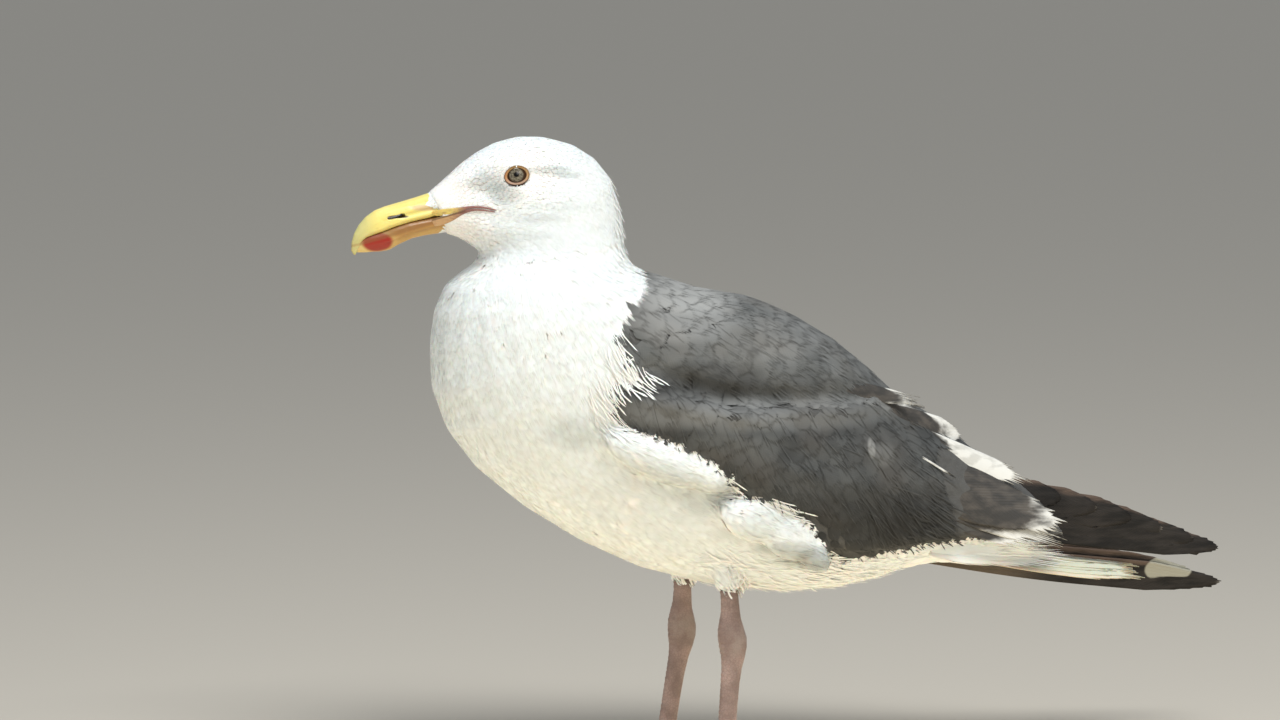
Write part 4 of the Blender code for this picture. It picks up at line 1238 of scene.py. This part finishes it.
# The long wing feathers, shortest first: root, middle, tip and width.
LEFT_QUILLS = (
    ((70, -9, 150), (111, -8, 147.5), (151, -8, 143), 17),
    ((74, -9.5, 147), (123, -8.5, 144), (173, -8.5, 136.5), 18),
    ((78, -10, 143), (136, -9, 139.5), (194, -9, 130), 18.5),
    ((82, -10.5, 138), (147, -9.5, 134), (213, -9.5, 123.5), 18.5),
    ((86, -11, 133), (158, -10, 128), (232, -10.5, 117), 18),
    ((90, -11.5, 129), (168, -10.5, 122.5), (247, -11.5, 111.5), 16.5),
)
RIGHT_QUILLS = (
    ((60, 34, 119), (110, 34, 113.5), (160, 33, 109.5), 15),
    ((60, 35, 118), (118, 35, 111.5), (180, 34, 106), 16),
    ((60, 36, 117), (130, 36, 109.5), (202, 33, 102), 17),
    ((64, 37, 114), (140, 36, 105.5), (222, 32, 97), 18),
    ((70, 38, 110.5), (152, 36, 102), (246, 30, 92), 18.5),
    ((76, 39, 107), (160, 36, 97.5), (263, 28, 86), 17.5),
)
# White coverts that lie along the tail: root, middle and tip on the left, and width.
TAIL_COVERTS = (
    ((54, -34, 124), (86, -27, 118), (118, -21, 114.5), 11),
    ((66, -32, 119), (100, -25, 115.5), (136, -20, 112.5), 11),
    ((80, -26, 118), (120, -20, 114), (160, -18, 110.5), 10),
)
TAIL_PAIRS = 6
COVERT_LAYERS = 7
# The feathers under the tail grow in rows round the body.
VENT_ROWS, VENT_COLUMNS = 10, 21
# The lower edge of the white plumage, from the belly back along the tail.
WHITE_EDGE = (
    (20, 90), (34, 95.5), (55, 105.5), (67, 111), (80, 112), (123, 110), (147, 107), (192, 94),
)


def slate_plumage(name, low, high, brown, worn=0.35):
    """Grey feathers with paler worn fringes, fine darker shafts and brown bleaching, and painted
    light and shade.
    """
    grey = Finish(name, Roughness=0.75, Specular_IOR_Level=0.2)
    along, across, tone, barbs = grey.vane(70.0, 34.0, 20.0)
    streak = grey.noise(120.0, 4.0, stretch=(0.5, 1.0, 0.8))
    share = tone * 0.2 + streak * 0.45 + grey.noise(28.0) * 0.35 + barbs * 0.02
    colour = grey.blend(grey.step(share, 0.25, 0.78), low, high)
    colour = grey.blend(grey.step(grey.noise(30.0), 0.45, 0.72) * 0.6, colour, brown)
    # Painted shade along the crease and painted light on the top of the back and the wing's ridge,
    # with some of the plumage's own markings, from the table.
    colour = grey.light_shade_and_marks(colour, SLATE_LIGHT_SHADE_AND_MARKS, SLATE_DARK, SLATE_LIGHT)
    fringe = grey.step(along + across * across * 0.2 + tone * 0.1, 0.84, 1.08)
    shaft = (1.0 - grey.step(grey.absolute(across), 0.01, 0.06)) * grey.step(tone, 0.75, 0.95)
    colour = grey.layers(
        colour, (fringe * worn, (0.25, 0.25, 0.245)), (shaft * 0.45, (0.02, 0.02, 0.02)))
    return grey.paint(colour, bump=barbs, height=0.05, strength=0.3)


def rimmed_plumage(name, side, body, brown, rim):
    """Dark feathers with white ends; each one's tone is the share that is white."""
    plume = Finish(name, Roughness=0.6, Specular_IOR_Level=0.3)
    along, across, white, barbs = plume.vane(160.0, 60.0)
    streak = plume.noise(260.0, 4.0, stretch=(0.35, 1.0, 0.8))
    shade = plume.blend(plume.step(streak, 0.35, 0.7), body, brown)
    upper = plume.step(across * side, 0.72, 0.98) * plume.step(along, 0.5, 0.85)
    edge = along + across * across * 0.16 + (streak - 0.5) * 0.2 + white + upper * 0.3
    pale = plume.blend(plume.step(streak, 0.55, 0.35) * 0.5, rim, (0.40, 0.40, 0.37))
    colour = plume.blend(plume.step(edge, 0.95, 1.07), shade, pale)
    return plume.paint(colour, bump=barbs, height=0.1, strength=0.5)


def make_mantle_coat(surface, random):
    """Large soft slate feathers over the back and scapulars."""
    plume = slate_plumage("mantle plumage", (0.085, 0.091, 0.091), (0.160, 0.168, 0.168),
                          (0.148, 0.145, 0.135), 0.2)
    shapes = feather_shapes(14, 4, 0.58, 0.85, 0.42, random)
    strand = feather_shapes(1, 3, 0.8, 0.3, 0.0, random, root=0.8)
    coat = Coat()
    back = surface.kinds == SLATE
    front = (surface.kinds == WHITE) & (surface.middles[:, 0] < -60.0 * MM)
    front &= reaches_dark(surface.middles, DARK_LAP)
    roots, normals = surface.scatter(back | front, 6.6, random)
    x, _, z = roots.T / MM
    above = z - height_on(CREASE, x)
    lengths = 21.0 + 13.0 * clamp((x + 110.0) / 130.0)
    lengths *= random.uniform(0.85, 1.15, len(roots))
    lengths = np.minimum(lengths, 13.0 + 1.6 * np.clip(above, 0.0, None))
    rise = lengths[:, None] * (-0.02, 0.018)
    coat.lay(surface, roots, normals, lengths, lengths * 0.72, shapes, rise, random,
             twist=0.0, swirl=0.08, dome=0.02, bend=0.04, curl=0.12)
    roots, normals = surface.scatter(back, 8.0, random)
    coat.lay(surface, roots, normals, random.uniform(8.0, 14.0, len(roots)), 0.35, strand,
             (0.2, 0.7), random, twist=0.0, swirl=0.16, bend=0.06)
    coat.finish("mantle_feathers", plume, "slate_feathers")


def make_wing_coat(surface, random, name, side):
    """The folded wing's coverts: short above, long and soft below."""
    x, y, z = surface.middles.T / MM
    outside = (y * side > 0.0) & (surface.normals[surface.faces[:, 0], 1] * side > -0.2)
    keep = (surface.kinds == WING) & outside & ~inside(x, z, TERTIAL_PANEL)
    plume = slate_plumage("wing plumage " + name, (0.040, 0.043, 0.044),
                          (0.092, 0.099, 0.101), (0.078, 0.075, 0.070), 0.16)
    shapes = feather_shapes(11, 4, 0.70, 0.8, 0.35, random)
    strand = feather_shapes(1, 4, 0.8, 0.3, 0.0, random, root=0.8)
    pads = surface.middles[surface.kinds == PAD]
    wing = read(nodes["wing_" + name].data.vertices, "co")
    steps = np.linspace(wing[:, 0].min(), wing[:, 0].max(), 24)
    near = [wing[np.abs(wing[:, 0] - step) < 12.0 * MM, 2] for step in steps]
    lows = [heights.min() for heights in near]
    coat = Coat()
    wisps = keep & inside(x, z, WISPS)
    for area, spacing, kinds, slim in (
            (keep, 5.6, shapes, 0.62), (keep, 5.0, strand, 0.02), (wisps, 2.4, strand, 0.02)):
        roots, normals = surface.scatter(area, spacing, random)
        below = height_on(CREASE, roots[:, 0] / MM) - roots[:, 2] / MM
        above = (roots[:, 2] - np.interp(roots[:, 0], steps, lows)) / MM
        lengths = np.clip(16.0 + below * 0.4, 16.0, 34.0)
        lengths = np.minimum(lengths, above * 1.2 + 7.0) * random.uniform(0.8, 1.15, len(roots))
        lengths = np.minimum(lengths, 3.0 + gap_to(pads, roots))
        widths = np.clip(lengths * slim, 0.5, 18.0)
        loose = 1.0 if kinds is shapes else 2.4
        tall = 1.6 if area is wisps else 0.4 * loose
        coat.lay(surface, roots, normals, lengths, widths, kinds, (-0.4, tall),
                 random, lie=WING_LIE, twist=0.0, swirl=0.08 * loose, dome=0.03)
    coat.finish("coverts_" + name, plume, "wing_feathers")


def make_tertials(surface, random, name, side):
    """The broad hind feathers that close the wing, with white worn ends."""
    plume = rimmed_plumage("tertials " + name, side, (0.040, 0.039, 0.037),
                           (0.085, 0.077, 0.068), (0.70, 0.71, 0.68))
    coat = Coat()
    for root, tip, width, out, white, split, ragged in TERTIALS:
        middle = (np.array(root) + tip) / 2.0
        line = surface.path_from_side((root, middle, tip), side, side > 0.0)
        outwards = unit(np.array([(0.0, side, 0.45)] * 3))
        shapes = feather_shapes(18, 14, split, ragged, 0.30 * width / 25.0, random, variants=1)
        coat.place_one(line, outwards, width, shapes, (out - 4.5, out), random, twist=0.0,
                       bend=0.02, dome=0.16, tones=np.array([white]))
    coat.finish("tertials_" + name, plume, "quill_feathers", stiff=0.4)


def quill_finish(name, side):
    """Blackish quills with a brown worn upper edge; the right one's inner web is paler."""
    plume = Finish("primaries " + name, Roughness=0.65, Specular_IOR_Level=0.2)
    along, across, _, barbs = plume.vane(260.0, 60.0)
    streak = plume.noise(300.0, 4.0, stretch=(0.2, 1.0, 1.0))
    worn = plume.step(across * side + streak * 0.7, 0.85, 1.3)
    tip = plume.step(along, 0.98, 1.0) * plume.step(streak, 0.48, 0.56)
    colour = plume.layers(
        (0.010, 0.0095, 0.009), (plume.step(streak, 0.3, 0.7), (0.027, 0.024, 0.022)),
        (worn * 0.8, (0.12, 0.085, 0.065)), (tip * 0.4, (0.4, 0.38, 0.34)))
    if side > 0.0:
        near = plume.step(plume.x + (streak - 0.5) * 0.03, 0.165, 0.125)
        mirror = plume.oval(230.5, 94.5, 14.0, 8.0, 0.12)
        mirror = mirror * plume.step(plume.z + (streak - 0.5) * 0.003, 0.0895, 0.0905)
        colour = plume.layers(
            colour, (near * 0.85, (0.115, 0.093, 0.072)), (mirror * 0.85, (0.36, 0.36, 0.30)))
    return plume.paint(colour, bump=barbs, height=0.08, strength=0.5)


def make_primaries(random, name, side, quills):
    """The long blackish feathers beyond the tertials."""
    coat = Coat()
    for number, (*path, width) in enumerate(quills):
        shift = (len(quills) - number) * 0.5
        shapes = feather_shapes(14, 22, 0.99, 0.5, 0.20, random, variants=1)
        coat.place_one(np.array(path) * MM, [(0.0, side, 0.12)] * 3, width, shapes,
                       (shift, shift), random, dome=0.08, twist=0.02, bend=0.0)
    coat.finish("primary_feathers_" + name, quill_finish(name, side), "quill_feathers",
                "primaries_" + name, stiff=VANE_THICKNESS)


def make_tail(random):
    """Twelve white feathers that fan a little, six to each side, and their coverts."""
    # The white tail is coloured a dim cream here: painted shade.
    plume = white_plumage("tail plumage", (), (0.44, 0.415, 0.30), (0.62, 0.595, 0.47))
    _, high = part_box("tail")
    coat = Coat()
    for number in range(TAIL_PAIRS):
        for _, side in SIDES:
            spread = (number + 0.5) / TAIL_PAIRS
            y = side * (2.0 + 21.0 * spread)
            droop = 5.0 * spread ** 2
            path = np.array([(88.0, y * 0.55, 114.0 - droop * 0.3),
                             (145.0, y * 0.9, 108.5 - droop * 0.8),
                             (high.x / MM - 4.0 * spread ** 2, y * 1.05, 101.0 - droop)])
            lean = np.array([(0.0, side * 0.5 * spread, 1.0)] * 3)
            shapes = feather_shapes(14, 16, 0.86, 0.9, 0.3, random, variants=1)
            coat.place_one(path * MM, unit(lean), 15.0, shapes, (0.7 - number * 0.28,) * 2,
                           random, dome=0.03, twist=0.01, bend=0.01)
    coat.finish("tail_feathers", plume, "white_feathers", "tail", stiff=VANE_THICKNESS)

    coat = Coat()
    for _, side in SIDES:
        for *path, width in TAIL_COVERTS:
            path = np.array(path) * (1.0, -side, 1.0) * MM
            for turn in range(COVERT_LAYERS):
                shift = random.normal(0.0, 1.0, 3) * MM
                shapes = feather_shapes(10, 6, 0.6, 0.85, 0.3, random, variants=1)
                outwards = unit(np.array([(0.0, side * 0.9, 0.45 - 0.12 * turn)] * 3))
                coat.place_one(path + shift, outwards, width, shapes, (-1.0, 0.3), random,
                               bend=0.05)
    coat.finish("tail_covert_feathers", white_plumage("covert plumage"), "white_feathers")


def make_vent(surface, random):
    """Long soft feathers that carry the belly on under the tail."""
    coat = Coat()
    shapes = feather_shapes(9, 5, 0.5, 0.8, 0.3, random)
    for row in range(VENT_ROWS):
        x = 22.0 + 9.0 * row
        reach = 26.0 + 2.6 * row
        for number in range(VENT_COLUMNS):
            turn = math.radians(185.0 + 170.0 * (number + random.random()) / VENT_COLUMNS)
            way = Vector((0.0, math.cos(turn), math.sin(turn)))
            start = mm(x + random.uniform(-4.0, 4.0), 0.0, 125.0)
            hit, normal, _, _ = surface.tree.ray_cast(start + way * 0.12, -way)
            if hit is None or hit.z > 0.122:
                continue
            here, there = height_on(WHITE_EDGE, (hit.x / MM, hit.x / MM + reach))
            end = mm(hit.x / MM + reach, hit.y / MM * 0.72,
                     there + 1.0 + max(0.0, hit.z / MM - here) * 0.7)
            middle = (hit + end) / 2.0 + way * 0.3 * MM
            outwards = unit(np.array([tuple(normal), tuple(way), tuple(way)]))
            coat.place_one((hit, middle, end), outwards, random.uniform(8.0, 11.0), shapes,
                           (-1.0, 0.1), random, twist=0.06, dome=0.06)
    coat.finish("vent_feathers", white_plumage("vent plumage"), "white_feathers")


# -------------------------------------------------------------------------- legs

def leg_finish(name):
    """Pinkish grey scales: broad plates in front, small round ones elsewhere."""
    skin = Finish("leg skin " + name, Roughness=0.5, Specular_IOR_Level=0.45,
                  Subsurface_Weight=0.08, Subsurface_Scale=0.002)
    scales = skin.cells(620.0, "DISTANCE_TO_EDGE")
    seams = 1.0 - skin.step(scales, 0.0, 0.12)
    patches = skin.noise(90.0, 4.0)
    knob = skin.step(skin.absolute(skin.z - 0.0705), 0.012, 0.004) * skin.step(patches, 0.4, 0.6)
    colour = skin.layers(
        (0.195, 0.142, 0.130), (skin.step(patches, 0.35, 0.7), (0.31, 0.232, 0.215)),
        (seams * 0.45, (0.14, 0.09, 0.075)), (knob * 0.5, (0.24, 0.21, 0.19)))
    return skin.paint(colour, bump=scales, height=0.25, strength=0.7)


def make_leg(name):
    """The scaly shank, foot and hind toe as one skin, with plates down its front."""
    bm = bmesh.new()
    parts = [part + "_" + name for part in ("tibia", "tarsus", "foot", "hallux")]
    for part in parts:
        pour(node_bmesh(part, 0.2), bm)
    mesh = remeshed(bm, 0.6)
    relax(mesh, 14)
    whole = Surface(mesh)
    x, y, z = whole.places.T / MM
    middle = sum(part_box("tarsus_" + name), Vector()) / 2.0 / MM
    front = clamp(-whole.normals[:, 0] * 1.6 - 0.3) * clamp((z - 6.0) / 6.0)
    away = np.hypot(x - middle.x, y - middle.y)
    toes = clamp(whole.normals[:, 2] * 2.0 - 1.0) * clamp((14.0 - z) / 4.0)
    toes *= clamp((z - 2.2) / 1.5)
    plates = front * np.abs(np.sin(z * math.pi / 3.1)) ** 0.5
    rings = toes * np.abs(np.sin(away * math.pi / 2.6)) ** 0.5
    height = 0.28 * (plates - front) + 0.25 * (rings - toes)
    move_to(mesh, whole.places + whole.normals * (height * MM)[:, None])
    mesh.materials.append(leg_finish(name))
    add_piece("leg_" + name, mesh, "leg_skin", *parts)


def make_claws(name):
    """Short dark claws, smooth and bent down at their tips."""
    horn = Finish("claw horn " + name, Roughness=0.35, Coat_Weight=0.3, Coat_Roughness=0.2)
    fleck = horn.noise(900.0, 3.0)
    colour = horn.paint(horn.blend(fleck, (0.018, 0.015, 0.013), (0.07, 0.055, 0.045)))
    for toe in ("inner", "middle", "outer"):
        node = "claw_" + toe + "_" + name
        mesh = remeshed(node_bmesh(node, 0.15), 0.35)
        relax(mesh, 8)
        mesh.materials.append(colour)
        add_piece(node + "_horn", mesh, "claw_horn", node)


# ------------------------------------------------------------------------- stage

# The point that the camera looks at, and where it stands: degrees round the bird, degrees
# up, and how far off.
AIM = Vector((-0.0965, 0.0, 0.228))
CAMERA_TURN, CAMERA_RISE, CAMERA_DISTANCE = -15.0, 5.5, 4.02
FOCAL_LENGTH, SENSOR_WIDTH = 200.0, 36.0
# Soft square lamps: place, what each one faces, colour, size and power.
LAMPS = {
    "key": ((0.1, -1.25, 2.2), AIM, (1.0, 0.98, 0.95), 1.1, 57.0),
    "fill": ((-2.0, -1.2, 0.7), AIM, (0.95, 0.97, 1.0), 1.6, 6.0),
    "bounce": ((-0.1, -0.4, 0.004), mm(-100, -400, 900), (1.0, 0.79, 0.48), 1.1, 3.3),
}
FLOOR_SIZE = 25.0


def make_stage():
    """A pale floor, soft studio lights and the camera."""
    bm = bmesh.new()
    bmesh.ops.create_grid(bm, x_segments=2, y_segments=2, size=FLOOR_SIZE)
    finish = Finish("pale floor", Roughness=0.9).paint((0.48, 0.455, 0.40))
    add_object("floor", mesh_of(bm, "floor", finish))

    world = bpy.data.worlds.new("studio")
    world.use_nodes = True
    sky = world.node_tree.nodes["Background"].inputs
    sky["Color"].default_value = (0.93, 0.96, 1.0, 1.0)
    sky["Strength"].default_value = 0.5
    bpy.context.scene.world = world
    for name, (place, target, colour, size, power) in LAMPS.items():
        light = bpy.data.lights.new(name, "AREA")
        light.color, light.size, light.energy = colour, size, power
        lamp = add_object(name, light)
        lamp.location = place
        lamp.rotation_euler = (target - lamp.location).to_track_quat("-Z", "Y").to_euler()
        lamp.visible_camera = False

    turn, rise = math.radians(CAMERA_TURN), math.radians(CAMERA_RISE)
    offset = Vector((math.sin(turn) * math.cos(rise), -math.cos(turn) * math.cos(rise),
                     math.sin(rise)))
    lens = bpy.data.cameras.new("camera")
    lens.lens, lens.sensor_width = FOCAL_LENGTH, SENSOR_WIDTH
    camera = add_object("camera", lens)
    camera.location = AIM + offset * CAMERA_DISTANCE
    camera.rotation_euler = (-offset).to_track_quat("-Z", "Y").to_euler()
    bpy.context.scene.camera = camera
    bpy.context.scene.view_settings.view_transform = "Standard"


def main():
    random = np.random.default_rng(SEED)
    surface = make_form()
    make_skin(surface)
    horns = make_bill()
    for name, side in SIDES:
        make_gape(surface, name, side)
        make_eye(surface, name, side)
    make_body_coat(surface, horns, random)
    make_mantle_coat(surface, random)
    for name, side in SIDES:
        make_wing_coat(surface, random, name, side)
        make_tertials(surface, random, name, side)
    for (name, side), quills in zip(SIDES, (LEFT_QUILLS, RIGHT_QUILLS)):
        make_primaries(random, name, side, quills)
    make_tail(random)
    make_vent(surface, random)
    for name, _ in SIDES:
        make_leg(name)
        make_claws(name)
    make_stage()


main()
